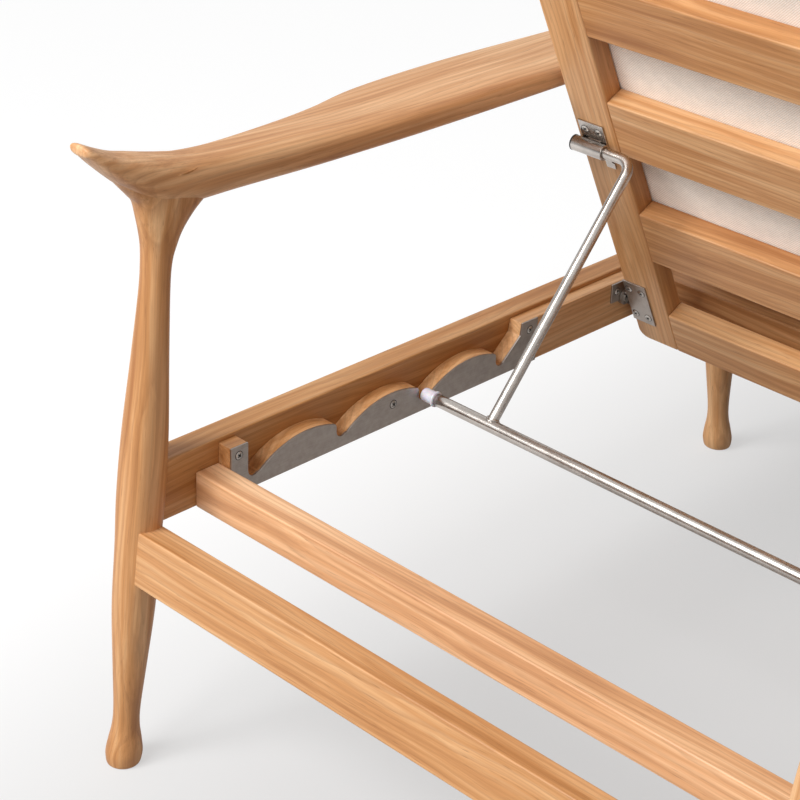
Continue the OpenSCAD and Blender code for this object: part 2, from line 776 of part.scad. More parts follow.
module bar_cap(left) {
    at = [bar_y, bar_z];
    color(NYLON) side(left) difference() {
        union() {
            rod_x(cap_end - cap_l, cap_end - 2, at, cap_d/2);
            rod_x(cap_end - 2, cap_end, at, cap_d/2 - 1.5);
            rod_x(cap_end - cap_l, cap_end - cap_l + 3, at, cap_d/2 + 1.2);
        }
        rod_x(cap_end - cap_l - 1, cap_end - 3, at, spigot_d/2);
    }
}

// Cushions

// Soft block: size [x, y, z], low face at z = 0, sides drawn in, faces crowned
module cushion(size, crown, draw, edge) {
    sides = 56;
    // Each level: inset from the outline, height as a share of the thickness, share of the crown
    levels = [[edge*1.0, 0.0], [edge*0.45, 0.045], [edge*0.12, 0.14], [0, 0.32], [0, 0.68], [edge*0.12, 0.86],
        [edge*0.45, 0.955], [edge*1.0, 1.0]];
    flat_t = size[2] - 2*crown;
    function outline(inset) =
        [for (p = soft_ring(2, 2, 9, sides))
            let (hx = size[0]/2 - inset, hy = size[1]/2 - inset)
            [p[0]*(hx - draw*(1 - p[1]*p[1])), p[1]*(hy - draw*(1 - p[0]*p[0]))]];
    function lifted(inset, share, up) =
        [for (p = outline(inset)) [p[0], p[1], crown + share*flat_t + up]];
    function inner(scale, share, up) =
        [for (p = outline(edge)) [p[0]*scale, p[1]*scale, crown + share*flat_t + up]];
    rings = concat(
        [inner(0.35, 0, -crown*0.97), inner(0.7, 0, -crown*0.8), inner(0.9, 0, -crown*0.45)],
        [for (l = levels) lifted(l[0], l[1], 0)],
        [inner(0.9, 1, crown*0.45), inner(0.7, 1, crown*0.8), inner(0.35, 1, crown*0.97)]);
    skin(rings);
}

seat_cushion_from = seat_rear_y - 3;
seat_cushion_to = seat_to + 4;

module seat_cushion() {
    l = seat_cushion_from - seat_cushion_to;
    color(FABRIC) translate([0, seat_cushion_from - l/2, seat_top + soft_gap])
        cushion([seat_cushion_w, l, seat_cushion_t], 7, 5, 22);
}

module back_cushion() {
    l = stile_up - back_cushion_low;
    color(FABRIC) in_back() translate([0, back_cushion_low + l/2, back_t + soft_gap])
        cushion([seat_cushion_w - 2*back_cushion_inset, l, back_cushion_t], 6, 5, 22);
}

side_rail_head(true);  // side_rail_head_left
side_rail_head(false);  // side_rail_head_right
side_rail_foot(true);  // side_rail_foot_left
side_rail_foot(false);  // side_rail_foot_right
head_leg(true);  // head_leg_left
head_leg(false);  // head_leg_right
middle_leg(true);  // middle_leg_left
middle_leg(false);  // middle_leg_right
foot_leg(true);  // foot_leg_left
foot_leg(false);  // foot_leg_right
arm(true);  // arm_left
arm(false);  // arm_right
arm_dowels();
head_rail();
rest_rail();
seat_rear_rail();
foot_rail();
seat_slat(0);  // seat_slat_1
seat_slat(1);  // seat_slat_2
seat_slat(2);  // seat_slat_3
seat_slat(3);  // seat_slat_4
seat_slat(4);  // seat_slat_5
seat_slat(5);  // seat_slat_6
seat_slat(6);  // seat_slat_7
seat_ledger(true);  // seat_ledger_left
seat_ledger(false);  // seat_ledger_right
slat_screws();
rack_board(true);  // rack_board_left
rack_board(false);  // rack_board_right
rack_plate(true);  // rack_plate_left
rack_plate(false);  // rack_plate_right
rack_screws();
hinge_frame_leaf(true);  // hinge_frame_leaf_left
hinge_frame_leaf(false);  // hinge_frame_leaf_right
hinge_pin(true);  // hinge_pin_left
hinge_pin(false);  // hinge_pin_right
hinge_frame_screws();
seat_cushion();
back_stile(true);  // back_stile_left
back_stile(false);  // back_stile_right
back_bottom_rail();
back_slat(0);  // back_slat_1
back_slat(1);  // back_slat_2
back_slat(2);  // back_slat_3
back_top_rail();
hinge_back_leaf(true);  // hinge_back_leaf_left
hinge_back_leaf(false);  // hinge_back_leaf_right
hinge_back_screws();
barrel(true);  // barrel_left
barrel(false);  // barrel_right
barrel_end_caps();
barrel_screws();
back_cushion();
support_rod(true);  // support_rod_left
support_rod(false);  // support_rod_right
crossbar();
bar_cap(true);  // bar_cap_left
bar_cap(false);  // bar_cap_right
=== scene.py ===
# Teak chaise longue with a reclining slatted back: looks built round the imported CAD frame.
# Sizes are in millimetres and are turned to metres by mm where a mesh is made.
import math
import random

import bmesh
import bpy
from mathutils import Matrix, Vector
from mathutils.bvhtree import BVHTree


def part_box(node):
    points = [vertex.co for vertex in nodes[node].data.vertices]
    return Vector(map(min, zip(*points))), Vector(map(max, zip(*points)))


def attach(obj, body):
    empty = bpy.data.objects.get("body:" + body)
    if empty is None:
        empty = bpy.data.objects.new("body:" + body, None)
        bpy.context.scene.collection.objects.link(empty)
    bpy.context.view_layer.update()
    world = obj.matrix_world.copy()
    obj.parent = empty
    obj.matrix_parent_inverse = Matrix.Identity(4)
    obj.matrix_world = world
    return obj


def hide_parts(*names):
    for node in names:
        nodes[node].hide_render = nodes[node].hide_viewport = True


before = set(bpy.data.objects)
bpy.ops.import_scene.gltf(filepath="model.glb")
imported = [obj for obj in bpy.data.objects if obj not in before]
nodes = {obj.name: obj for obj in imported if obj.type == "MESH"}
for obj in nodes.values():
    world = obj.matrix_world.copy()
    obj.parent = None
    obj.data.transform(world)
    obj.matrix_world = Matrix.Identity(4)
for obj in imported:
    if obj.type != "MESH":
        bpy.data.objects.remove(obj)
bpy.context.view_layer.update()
mm = 0.001
rng = random.Random(7)  # every board is cut from its own place in the log
sides = {"left": 1, "right": -1}

# The lounge's own layout: +X is the sitter's left, +Y the head end
layout = {
    "legX": 363.5,
    "armZ": 576.0,
    "headEnd": 1000.0,
    "headFoot": 973.0,
    "middleFoot": 36.0,
    "footFoot": -982.0,
    "headLean": -0.101,
    "middleLean": 0.13,
    "pivotY": 294.0635,
    "pivotZ": 293.3,
    "backAngle": 63.3,
    "barrelY": 410.8338,
    "barrelZ": 503.2159,
    "barY": 607.6635,
    "barZ": 282.5,
}
backTurn = math.radians(layout["backAngle"])
alongX, alongY, alongZ = Vector((1, 0, 0)), Vector((0, 1, 0)), Vector((0, 0, 1))
upBack = Vector((0, math.cos(backTurn), math.sin(backTurn)))
frontOfBack = Vector((0, -math.sin(backTurn), math.cos(backTurn)))
pivot = Vector((0, layout["pivotY"], layout["pivotZ"])) * mm


# sRGB hex colour to linear light
def linear(hexColour):
    channels = [int(hexColour[i : i + 2], 16) / 255 for i in (1, 3, 5)]
    return tuple(c / 12.92 if c <= 0.04045 else ((c + 0.055) / 1.055) ** 2.4 for c in channels) + (1.0,)


# A shader node with its settings. An input is a value or another node's socket, and stops are the colours or
# greys of a ramp.
def addNode(tree, kind, inputs=None, stops=None, **settings):
    node = tree.nodes.new("ShaderNode" + kind)
    for name, value in settings.items():
        setattr(node, name, value)
    for key, value in (inputs or {}).items():
        if isinstance(value, bpy.types.NodeSocket):
            tree.links.new(value, node.inputs[key])
        else:
            node.inputs[key].default_value = value
    if stops:
        elements = node.color_ramp.elements
        while len(elements) < len(stops):
            elements.new(0.5)
        for element, (place, colour) in zip(elements, stops):
            element.position = place
            element.color = linear(colour) if isinstance(colour, str) else (colour, colour, colour, 1)
    return node


def newMaterial(name, shaderInputs):
    material = bpy.data.materials.new(name)
    material.use_nodes = True
    tree = material.node_tree
    tree.nodes.clear()
    shader = addNode(tree, "BsdfPrincipled", shaderInputs)
    addNode(tree, "OutputMaterial", {"Surface": shader.outputs["BSDF"]})
    return material, tree, shader


# Camera: the photograph's viewpoint, solved from the rails, slats and rack edges
cameraView = {
    "place": (-967.0, 2008.8, 1283.2), "yaw": 43.5353, "pitch": 27.8480, "roll": 2.3593, "lens": 97.213,
    "sensor": 36.0,
}
yaw, pitch, roll = (math.radians(cameraView[k]) for k in ("yaw", "pitch", "roll"))
forward = Vector((math.sin(yaw) * math.cos(pitch), -math.cos(yaw) * math.cos(pitch), -math.sin(pitch)))
rightward = forward.cross(alongZ).normalized()
upward = rightward.cross(forward)
rightward, upward = (
    math.cos(roll) * rightward + math.sin(roll) * upward,
    math.cos(roll) * upward - math.sin(roll) * rightward,
)
cameraData = bpy.data.cameras.new("camera")
cameraData.lens = cameraView["lens"]
cameraData.sensor_width = cameraView["sensor"]
cameraData.clip_end = 60
camera = bpy.data.objects.new("camera", cameraData)
bpy.context.scene.collection.objects.link(camera)
turn = Matrix((rightward, upward, -forward)).transposed().to_4x4()
camera.matrix_world = Matrix.Translation(Vector(cameraView["place"]) * mm) @ turn
bpy.context.scene.camera = camera
print("camera set")

# Teak: sawn, sanded and oiled. Oil makes the grain warm and leaves a soft sheen; late wood and pores draw
# fine brown lines. Each pair is the size of a patch along and across the grain; ringSpacing is a year's growth.
teakLook = {
    "light": "#DFB080",
    "middle": "#C68E5A",
    "deep": "#A36A39",
    "lateWood": "#88522A",
    "pore": "#6B4022",
    "ringSpacing": 5.0,
    "fibre": (170.0, 1.3),
    "streak": (340.0, 8.0),
    "patch": (700.0, 60.0),
    "pores": (26.0, 1.0),
    "wander": (380.0, 75.0),
    "wanderBy": 30.0,
    "boardValue": 0.22,
    "boardWarmth": -0.10,
    "rough": (0.52, 0.40),
    "bump": (0.25, 0.25),
    "bodyStops": (0.34, 0.48, 0.62),
    "ringStops": [(0.45, 0.0), (0.90, 0.45), (1.0, 0.0)],
    "fibreStops": [(0.3, 0.88), (0.5, 0.99), (0.7, 1.05)],
    "poreStops": [(0.66, 0.0), (0.78, 0.4)],
}


# How often a patch of this size repeats in a metre, along the grain and across it
def perMetre(size):
    return (1000 / size[0], 1000 / size[1], 1000 / size[1])


def makeTeak():
    look = teakLook
    material, tree, shader = newMaterial("teakOiled", {"Roughness": 0.45, "IOR": 1.5})
    grain = addNode(tree, "Attribute", attribute_name="grain").outputs["Vector"]
    tone = addNode(tree, "Attribute", attribute_name="tone").outputs["Fac"]

    def noise(size, detail, roughness=0.5, source=grain):
        scaled = addNode(tree, "VectorMath", {0: source, 1: perMetre(size)}, operation="MULTIPLY")
        return addNode(
            tree, "TexNoise",
            {"Vector": scaled.outputs[0], "Scale": 1.0, "Detail": detail, "Roughness": roughness},
        )

    # The tree never grows quite straight, so the rings wander a few millimetres along the board
    sideways = look["wanderBy"] * mm
    wander = noise(look["wander"], 2).outputs["Color"]
    wander = addNode(tree, "VectorMath", {0: wander, 1: (0.5, 0.5, 0.5)}, operation="SUBTRACT").outputs[0]
    wander = addNode(
        tree, "VectorMath", {0: wander, 1: (0.0, sideways, sideways)}, operation="MULTIPLY"
    ).outputs[0]
    bent = addNode(tree, "VectorMath", {0: grain, 1: wander}, operation="ADD").outputs[0]
    rings = addNode(
        tree,
        "TexWave",
        {
            "Vector": bent, "Scale": 2 * math.pi / (20 * look["ringSpacing"] * mm), "Distortion": 1.2,
            "Detail": 2.0, "Detail Scale": 0.6,
        },
        wave_type="RINGS",
        rings_direction="X",
        wave_profile="SAW",
    ).outputs["Fac"]
    fibre = noise(look["fibre"], 3, 0.6, bent).outputs["Fac"]
    streak = noise(look["streak"], 3, 0.55, bent).outputs["Fac"]
    patch = noise(look["patch"], 2).outputs["Fac"]
    pores = noise(look["pores"], 1, 0.5, bent).outputs["Fac"]

    mixed = addNode(tree, "Math", {0: streak, 1: patch}, operation="ADD").outputs[0]
    mixed = addNode(tree, "Math", {0: mixed, 1: 0.5}, operation="MULTIPLY").outputs[0]
    bodyStops = list(zip(look["bodyStops"], (look["deep"], look["middle"], look["light"])))
    body = addNode(tree, "ValToRGB", {"Fac": mixed}, stops=bodyStops).outputs["Color"]
    late = addNode(tree, "ValToRGB", {"Fac": rings}, stops=look["ringStops"]).outputs["Color"]
    late = addNode(tree, "Math", {0: late, 1: streak}, operation="MULTIPLY").outputs[0]
    body = addNode(tree, "Mix", {0: late, 6: body, 7: linear(look["lateWood"])}, data_type="RGBA").outputs[2]
    thread = addNode(tree, "ValToRGB", {"Fac": fibre}, stops=look["fibreStops"]).outputs["Color"]
    body = addNode(
        tree, "Mix", {0: 1.0, 6: body, 7: thread}, data_type="RGBA", blend_type="MULTIPLY"
    ).outputs[2]
    poreMask = addNode(tree, "ValToRGB", {"Fac": pores}, stops=look["poreStops"]).outputs["Color"]
    body = addNode(tree, "Mix", {0: poreMask, 6: body, 7: linear(look["pore"])}, data_type="RGBA").outputs[2]
    # Boards differ: tone 1 is a pale board and -1 a brown one
    value = addNode(tree, "Math", {0: tone, 1: look["boardValue"], 2: 1.0}, operation="MULTIPLY_ADD").outputs[0]
    warmth = addNode(
        tree, "Math", {0: tone, 1: look["boardWarmth"], 2: 1.0}, operation="MULTIPLY_ADD"
    ).outputs[0]
    body = addNode(
        tree, "HueSaturation", {"Saturation": warmth, "Value": value, "Color": body}
    ).outputs["Color"]
    tree.links.new(body, shader.inputs["Base Color"])
    dull, smooth = look["rough"]
    rough = addNode(tree, "MapRange", {"Value": fibre, "To Min": dull, "To Max": smooth}).outputs[0]
    tree.links.new(rough, shader.inputs["Roughness"])
    height = addNode(tree, "Math", {0: fibre, 1: poreMask}, operation="SUBTRACT").outputs[0]
    strength, relief = look["bump"]
    bump = addNode(
        tree, "Bump", {"Strength": strength, "Distance": relief * mm, "Height": height}
    ).outputs["Normal"]
    tree.links.new(bump, shader.inputs["Normal"])
    return material


# Beech dowels: turned, glued in and hidden, with a fibre of about 1.7 mm
beechLook = {"fibre": 600.0, "dark": "#B08B60", "light": "#C9A578"}


def makeBeech():
    look = beechLook
    material, tree, shader = newMaterial("beechTurned", {"Roughness": 0.6})
    place = addNode(tree, "TexCoord").outputs["Object"]
    fibre = addNode(tree, "TexNoise", {"Vector": place, "Scale": look["fibre"], "Detail": 2.0}).outputs["Fac"]
    colour = addNode(
        tree, "ValToRGB", {"Fac": fibre}, stops=[(0.3, look["dark"]), (0.7, look["light"])]
    ).outputs["Color"]
    tree.links.new(colour, shader.inputs["Base Color"])
    return material


# Stainless steel: the rolled plates are satin with a cloudy bloom, the rods are brushed bright and the screws
# are left as pressed. cloud is the size of the bloom, brush the width and length of a scratch.
steelLooks = {
    "stainlessSatinPlate": {
        "dark": "#9A918A", "light": "#ABA39C", "rough": (0.36, 0.44), "cloud": 9.0, "brush": (0.9, 22.0),
        "bump": 0.12,
    },
    "stainlessBrushedRod": {
        "dark": "#ABA49E", "light": "#C6C0BA", "rough": (0.20, 0.30), "cloud": 30.0, "brush": (0.7, 16.0),
        "bump": 0.08,
    },
    "stainlessPressedScrew": {
        "dark": "#A9A39C", "light": "#CBC6C0", "rough": (0.26, 0.40), "cloud": 3.0, "brush": (0.5, 2.0),
        "bump": 0.10,
    },
}
# Shares of scratches and bloom, where the ramp and the roughness begin and end, and the depth of a scratch
steelMix = {
    "brush": 0.35, "cloud": 0.65, "darkAt": 0.36, "lightAt": 0.62, "lowest": 0.35, "highest": 0.65,
    "relief": 0.05,
}


def makeSteel(name):
    look = steelLooks[name]
    material, tree, shader = newMaterial(name, {"Metallic": 1.0})
    place = addNode(tree, "TexCoord").outputs["Object"]
    cloud = addNode(
        tree, "TexNoise", {"Vector": place, "Scale": 1000 / look["cloud"], "Detail": 4.0, "Roughness": 0.6}
    ).outputs["Fac"]
    fine, long = look["brush"]
    stretched = addNode(
        tree, "VectorMath", {0: place, 1: (1000 / fine, 1000 / long, 1000 / fine)}, operation="MULTIPLY"
    ).outputs[0]
    brush = addNode(tree, "TexNoise", {"Vector": stretched, "Scale": 1.0, "Detail": 2.0}).outputs["Fac"]
    mix = steelMix
    scratches = addNode(tree, "Math", {0: brush, 1: mix["brush"]}, operation="MULTIPLY").outputs[0]
    both = addNode(tree, "Math", {0: cloud, 1: mix["cloud"], 2: scratches}, operation="MULTIPLY_ADD").outputs[0]
    stops = [(mix["darkAt"], look["dark"]), (mix["lightAt"], look["light"])]
    colour = addNode(tree, "ValToRGB", {"Fac": both}, stops=stops).outputs["Color"]
    tree.links.new(colour, shader.inputs["Base Color"])
    low, high = look["rough"]
    rough = addNode(
        tree, "MapRange",
        {"Value": both, "From Min": mix["lowest"], "From Max": mix["highest"], "To Min": low, "To Max": high},
    ).outputs[0]
    tree.links.new(rough, shader.inputs["Roughness"])
    bump = addNode(
        tree, "Bump", {"Strength": look["bump"], "Distance": mix["relief"] * mm, "Height": brush}
    ).outputs["Normal"]
    tree.links.new(bump, shader.inputs["Normal"])
    return material


# Nylon caps: moulded and undyed, so light soaks in and they look milky and a little blue. Flow marks lie about
# 6 mm apart.
nylonLook = {
    "flow": 6.25, "dark": "#CFCDDA", "light": "#E6E4EC", "glow": 0.35, "depth": 2.0, "bump": (0.08, 0.1),
}


def makeNylon():
    look = nylonLook
    material, tree, shader = newMaterial(
        "nylonMoulded",
        {
            "Roughness": 0.38, "IOR": 1.53, "Subsurface Weight": look["glow"],
            "Subsurface Scale": look["depth"] * mm,
        },
    )
    place = addNode(tree, "TexCoord").outputs["Object"]
    cloud = addNode(
        tree, "TexNoise", {"Vector": place, "Scale": 1000 / look["flow"], "Detail": 3.0}
    ).outputs["Fac"]
    colour = addNode(
        tree, "ValToRGB", {"Fac": cloud}, stops=[(0.3, look["dark"]), (0.7, look["light"])]
    ).outputs["Color"]
    tree.links.new(colour, shader.inputs["Base Color"])
    strength, relief = look["bump"]
    bump = addNode(
        tree, "Bump", {"Strength": strength, "Distance": relief * mm, "Height": cloud}
    ).outputs["Normal"]
    tree.links.new(bump, shader.inputs["Normal"])
    return material


# Black barrel rings, and the black rings round the screw heads that are painted shadow of the gap under each
# head: moulded polyamide with a fine spark-eroded grain, drawn at 0.8 mm
polyamideLook = {"grain": 1200.0, "dark": "#161617", "light": "#262628", "bump": (0.1, 0.05)}


def makeBlackPlasticAndShade():
    look = polyamideLook
    material, tree, shader = newMaterial("polyamideBlackAndShade", {"Roughness": 0.5})
    place = addNode(tree, "TexCoord").outputs["Object"]
    grain = addNode(tree, "TexNoise", {"Vector": place, "Scale": look["grain"], "Detail": 2.0}).outputs["Fac"]
    colour = addNode(
        tree, "ValToRGB", {"Fac": grain}, stops=[(0.3, look["dark"]), (0.7, look["light"])]
    ).outputs["Color"]
    tree.links.new(colour, shader.inputs["Base Color"])
    strength, relief = look["bump"]
    bump = addNode(
        tree, "Bump", {"Strength": strength, "Distance": relief * mm, "Height": grain}
    ).outputs["Normal"]
    tree.links.new(bump, shader.inputs["Normal"])
    return material


# Cushion cover: solution-dyed acrylic woven as a fine twill, so diagonal ribs run over it and it stays matt
# with a faint bloom. The real ribs are about 1 mm apart; they are drawn at 1.9 mm, the finest that shows.
fabricLook = {
    "rib": 1.9, "yarn": (3.0, 0.9), "slub": 14.0, "light": "#FBF0E5", "dark": "#EBDDCF", "fleck": "#FFF9F1",
    "ribStops": (0.0, 0.6, 1.0), "slubStops": [(0.3, 0.95), (0.7, 1.03)],
    "yarnStops": [(0.3, 0.94), (0.7, 1.04)], "bump": (0.35, 0.3),
}


def makeFabric():
    look = fabricLook
    material, tree, shader = newMaterial(
        "acrylicTwillCream", {"Roughness": 0.85, "Sheen Weight": 0.25, "Sheen Roughness": 0.5}
    )
    weave = addNode(tree, "Attribute", attribute_name="grain").outputs["Vector"]
    ribScale = 2 * math.pi / (10 * look["rib"] * mm * math.sqrt(2))
    ribs = addNode(
        tree, "TexWave", {"Vector": weave, "Scale": ribScale, "Distortion": 0.4, "Detail": 1.0},
        wave_type="BANDS", bands_direction="DIAGONAL",
    ).outputs["Fac"]
    long, fine = look["yarn"]
    crossed = addNode(
        tree, "VectorMath", {0: weave, 1: (1000 / long, 1000 / fine, 1000 / long)}, operation="MULTIPLY"
    ).outputs[0]
    yarn = addNode(tree, "TexNoise", {"Vector": crossed, "Scale": 1.0, "Detail": 2.0}).outputs["Fac"]
    slub = addNode(
        tree, "TexNoise", {"Vector": weave, "Scale": 1000 / look["slub"], "Detail": 3.0}
    ).outputs["Fac"]
    # The ribs' colour runs from the weave's darker cream in the hollows to a nearly white painted highlight on
    # the crests
    ribStops = list(zip(look["ribStops"], (look["dark"], look["light"], look["fleck"])))
    colour = addNode(tree, "ValToRGB", {"Fac": ribs}, stops=ribStops).outputs["Color"]
    shadeOf = addNode(tree, "ValToRGB", {"Fac": slub}, stops=look["slubStops"]).outputs["Color"]
    colour = addNode(
        tree, "Mix", {0: 1.0, 6: colour, 7: shadeOf}, data_type="RGBA", blend_type="MULTIPLY"
    ).outputs[2]
    yarnShade = addNode(tree, "ValToRGB", {"Fac": yarn}, stops=look["yarnStops"]).outputs["Color"]
    colour = addNode(
        tree, "Mix", {0: 1.0, 6: colour, 7: yarnShade}, data_type="RGBA", blend_type="MULTIPLY"
    ).outputs[2]
    tree.links.new(colour, shader.inputs["Base Color"])
    height = addNode(tree, "Math", {0: ribs, 1: yarn}, operation="ADD").outputs[0]
    strength, relief = look["bump"]
    bump = addNode(
        tree, "Bump", {"Strength": strength, "Distance": relief * mm, "Height": height}
    ).outputs["Normal"]
    tree.links.new(bump, shader.inputs["Normal"])
    return material


teak = makeTeak()
beech = makeBeech()
nylon = makeNylon()
blackPlasticAndShade = makeBlackPlasticAndShade()
fabric = makeFabric()
satin, brushed, pressed = (makeSteel(name) for name in steelLooks)
print("materials made")


# A new piece in the scene, with its material, its body and the CAD nodes that it stands for
def addPiece(name, mesh, material, body, slot, replaced=()):
    piece = bpy.data.objects.new(name, mesh)
    bpy.context.scene.collection.objects.link(piece)
    mesh.materials.clear()
    mesh.materials.append(material)
    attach(piece, body)
    if replaced:
        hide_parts(*replaced)
    return piece


# A CAD node's name in the way this script names its pieces
def pieceName(node):
    words = node.split("_")
    return words[0] + "".join(word.capitalize() for word in words[1:])


# Wood and cloth patterns follow each piece's own length: every point keeps its place in the piece
def setGrain(mesh, along, across, centre, shift, tone=0.0):
    through = along.cross(across)
    grain = mesh.attributes.new("grain", "FLOAT_VECTOR", "POINT")
    for vertex, value in zip(mesh.vertices, grain.data):
        place = vertex.co - centre
        value.vector = Vector((place.dot(along), place.dot(across), place.dot(through))) + shift
    tones = mesh.attributes.new("tone", "FLOAT", "POINT")
    tones.data.foreach_set("value", [tone] * len(mesh.vertices))


# Where a board was cut from its log: the heart lies 40 to 150 mm away
def logShift():
    along = rng.uniform(-3, 3)
    aside = rng.choice((-1, 1)) * rng.uniform(0.04, 0.15)
    below = rng.choice((-1, 1)) * rng.uniform(0.02, 0.09)
    return Vector((along, aside, below))


def meshOf(bm, name):
    mesh = bpy.data.meshes.new(name)
    bm.normal_update()
    bm.to_mesh(mesh)
    bm.free()
    return mesh


# Edges turned by more than an angle in degrees are shaded sharp
def markCreases(bm, angle):
    for edge in bm.edges:
        if edge.calc_face_angle(0) > math.radians(angle):
            edge.smooth = False


# Skin over rings of points; both ends are closed with a fan
def skin(rings, name):
    bm = bmesh.new()
    rows = [[bm.verts.new(p) for p in ring] for ring in rings]
    count = len(rows[0])
    for low, high in zip(rows, rows[1:]):
        for i in range(count):
            bm.faces.new((low[i], low[(i + 1) % count], high[(i + 1) % count], high[i])).smooth = True
    for row in (rows[0], rows[-1]):
        middle = bm.verts.new(sum((v.co for v in row), Vector()) / count)
        for i in range(count):
            bm.faces.new((middle, row[i], row[(i + 1) % count])).smooth = True
    bmesh.ops.recalc_face_normals(bm, faces=bm.faces)
    markCreases(bm, 50)
    return meshOf(bm, name)


# Rounded outline: squareness 2 is an ellipse, and more is squarer
def softRing(width, height, squareness, count):
    ring = []
    for i in range(count):
        angle = 2 * math.pi * (i + 0.5) / count
        c, s = math.cos(angle), math.sin(angle)
        x = width / 2 * math.copysign(abs(c) ** (2 / squareness), c)
        y = height / 2 * math.copysign(abs(s) ** (2 / squareness), s)
        ring.append((x, y))
    return ring


# Smooth run through the stations, with this many steps between two of them
def splined(stations, steps):
    last = len(stations) - 1
    line = []
    for i in range(last):
        four = [stations[j] for j in (max(i - 1, 0), i, i + 1, min(i + 2, last))]
        for k in range(steps):
            t = k / steps
            station = []
            for a, b, c, d in zip(*four):
                curve = a - 2.5 * b + 2 * c - d / 2 + t * (1.5 * (b - c) + (d - a) / 2)
                station.append(b + t * ((c - a) / 2 + t * curve))
            line.append(station)
    return line + [stations[last]]


# Tube of one diameter along a path
def tube(path, radius, count, name):
    rings = []
    side = None
    for i, place in enumerate(path):
        heading = (path[min(i + 1, len(path) - 1)] - path[max(i - 1, 0)]).normalized()
        if side is None:
            side = heading.orthogonal().normalized()
        side = (side - heading * side.dot(heading)).normalized()
        other = heading.cross(side)
        ring = []
        for j in range(count):
            angle = 2 * math.pi * j / count
            ring.append(place + radius * (math.cos(angle) * side + math.sin(angle) * other))
        rings.append(ring)
    return skin(rings, name)


# Turned piece along X: profile pairs of x and radius in millimetres, about (y, z)
def turned(profile, y, z, name, count=56):
    rings = []
    for x, r in profile:
        ring = []
        for j in range(count):
            angle = 2 * math.pi * j / count
            ring.append(Vector((x, y + r * math.cos(angle), z + r * math.sin(angle))) * mm)
        rings.append(ring)
    return skin(rings, name)


# Rounding over: angles are in degrees; faces smaller than smallest, in square millimetres, keep sharp edges
easing = {"merge": 0.02, "flat": 1, "sharp": 30, "crease": 35, "segments": 3, "smallest": 9.0}


# Copy of a CAD node with every sawn edge rounded over; the rims of screw holes stay sharp
def easedCopy(node, radius, smallest=easing["smallest"]):
    bm = bmesh.new()
    bm.from_mesh(nodes[node].data)
    bm.transform(nodes[node].matrix_world)
    bmesh.ops.remove_doubles(bm, verts=bm.verts, dist=easing["merge"] * mm)
    bmesh.ops.dissolve_limit(bm, angle_limit=math.radians(easing["flat"]), verts=bm.verts, edges=bm.edges)
    bm.normal_update()
    tooSmall = smallest * mm * mm
    sharp = []
    for edge in bm.edges:
        if len(edge.link_faces) == 2 and edge.calc_face_angle(0) > math.radians(easing["sharp"]):
            if min(face.calc_area() for face in edge.link_faces) > tooSmall:
                sharp.append(edge)
    bmesh.ops.bevel(
        bm, geom=sharp, offset=radius * mm, segments=easing["segments"], profile=0.5, affect="EDGES",
        clamp_overlap=False,
    )
    for face in bm.faces:
        face.smooth = True
    markCreases(bm, easing["crease"])
    return meshOf(bm, pieceName(node))


# Flat faces shade flat right up to their rounded edges
def weighNormals(piece):
    modifier = piece.modifiers.new("weighedNormals", "WEIGHTED_NORMAL")
    modifier.keep_sharp = True


# Sawn boards: rails, racks, slats and stiles, with the edges sanded round. Tone 1 is pale and -1 brown
boardLook = {"edge": 1.8, "rackEdge": 0.8}
boardTones = {
    "side_rail_head_left": -0.45, "side_rail_head_right": -0.3,
    "side_rail_foot_left": -0.2, "side_rail_foot_right": -0.3,
    "head_rail": -0.1, "rest_rail": 0.9, "seat_rear_rail": 0.0, "foot_rail": 0.1,
    "seat_slat_1": 0.0, "seat_slat_2": 0.3, "seat_slat_3": -0.2, "seat_slat_4": 0.1,
    "seat_slat_5": -0.1, "seat_slat_6": 0.35, "seat_slat_7": 0.0,
    "seat_ledger_left": -0.2, "seat_ledger_right": 0.0, "rack_board_left": -0.1, "rack_board_right": -0.1,
    "back_stile_left": -0.1, "back_stile_right": 0.1, "back_bottom_rail": -0.1,
    "back_slat_1": 0.1, "back_slat_2": -0.05, "back_slat_3": -0.1, "back_top_rail": 0.15,
}


def makeBoards():
    for node, tone in boardTones.items():
        isBack = node.startswith("back_")
        isRack = node.startswith("rack_")
        mesh = easedCopy(node, boardLook["rackEdge"] if isRack else boardLook["edge"])
        low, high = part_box(node)
        centre = (Vector(low) + Vector(high)) / 2
        if "stile" in node:
            along, across = upBack, alongX
        elif node.startswith(("side_", "rack_", "seat_ledger")):
            along, across = alongY, alongZ
        else:
            along, across = alongX, (upBack if isBack else alongY)
        setGrain(mesh, along, across, centre, logShift(), tone)
        piece = addPiece(pieceName(node), mesh, teak, "back" if isBack else "frame", "teak", [node])
        weighNormals(piece)


makeBoards()
print("boards made")

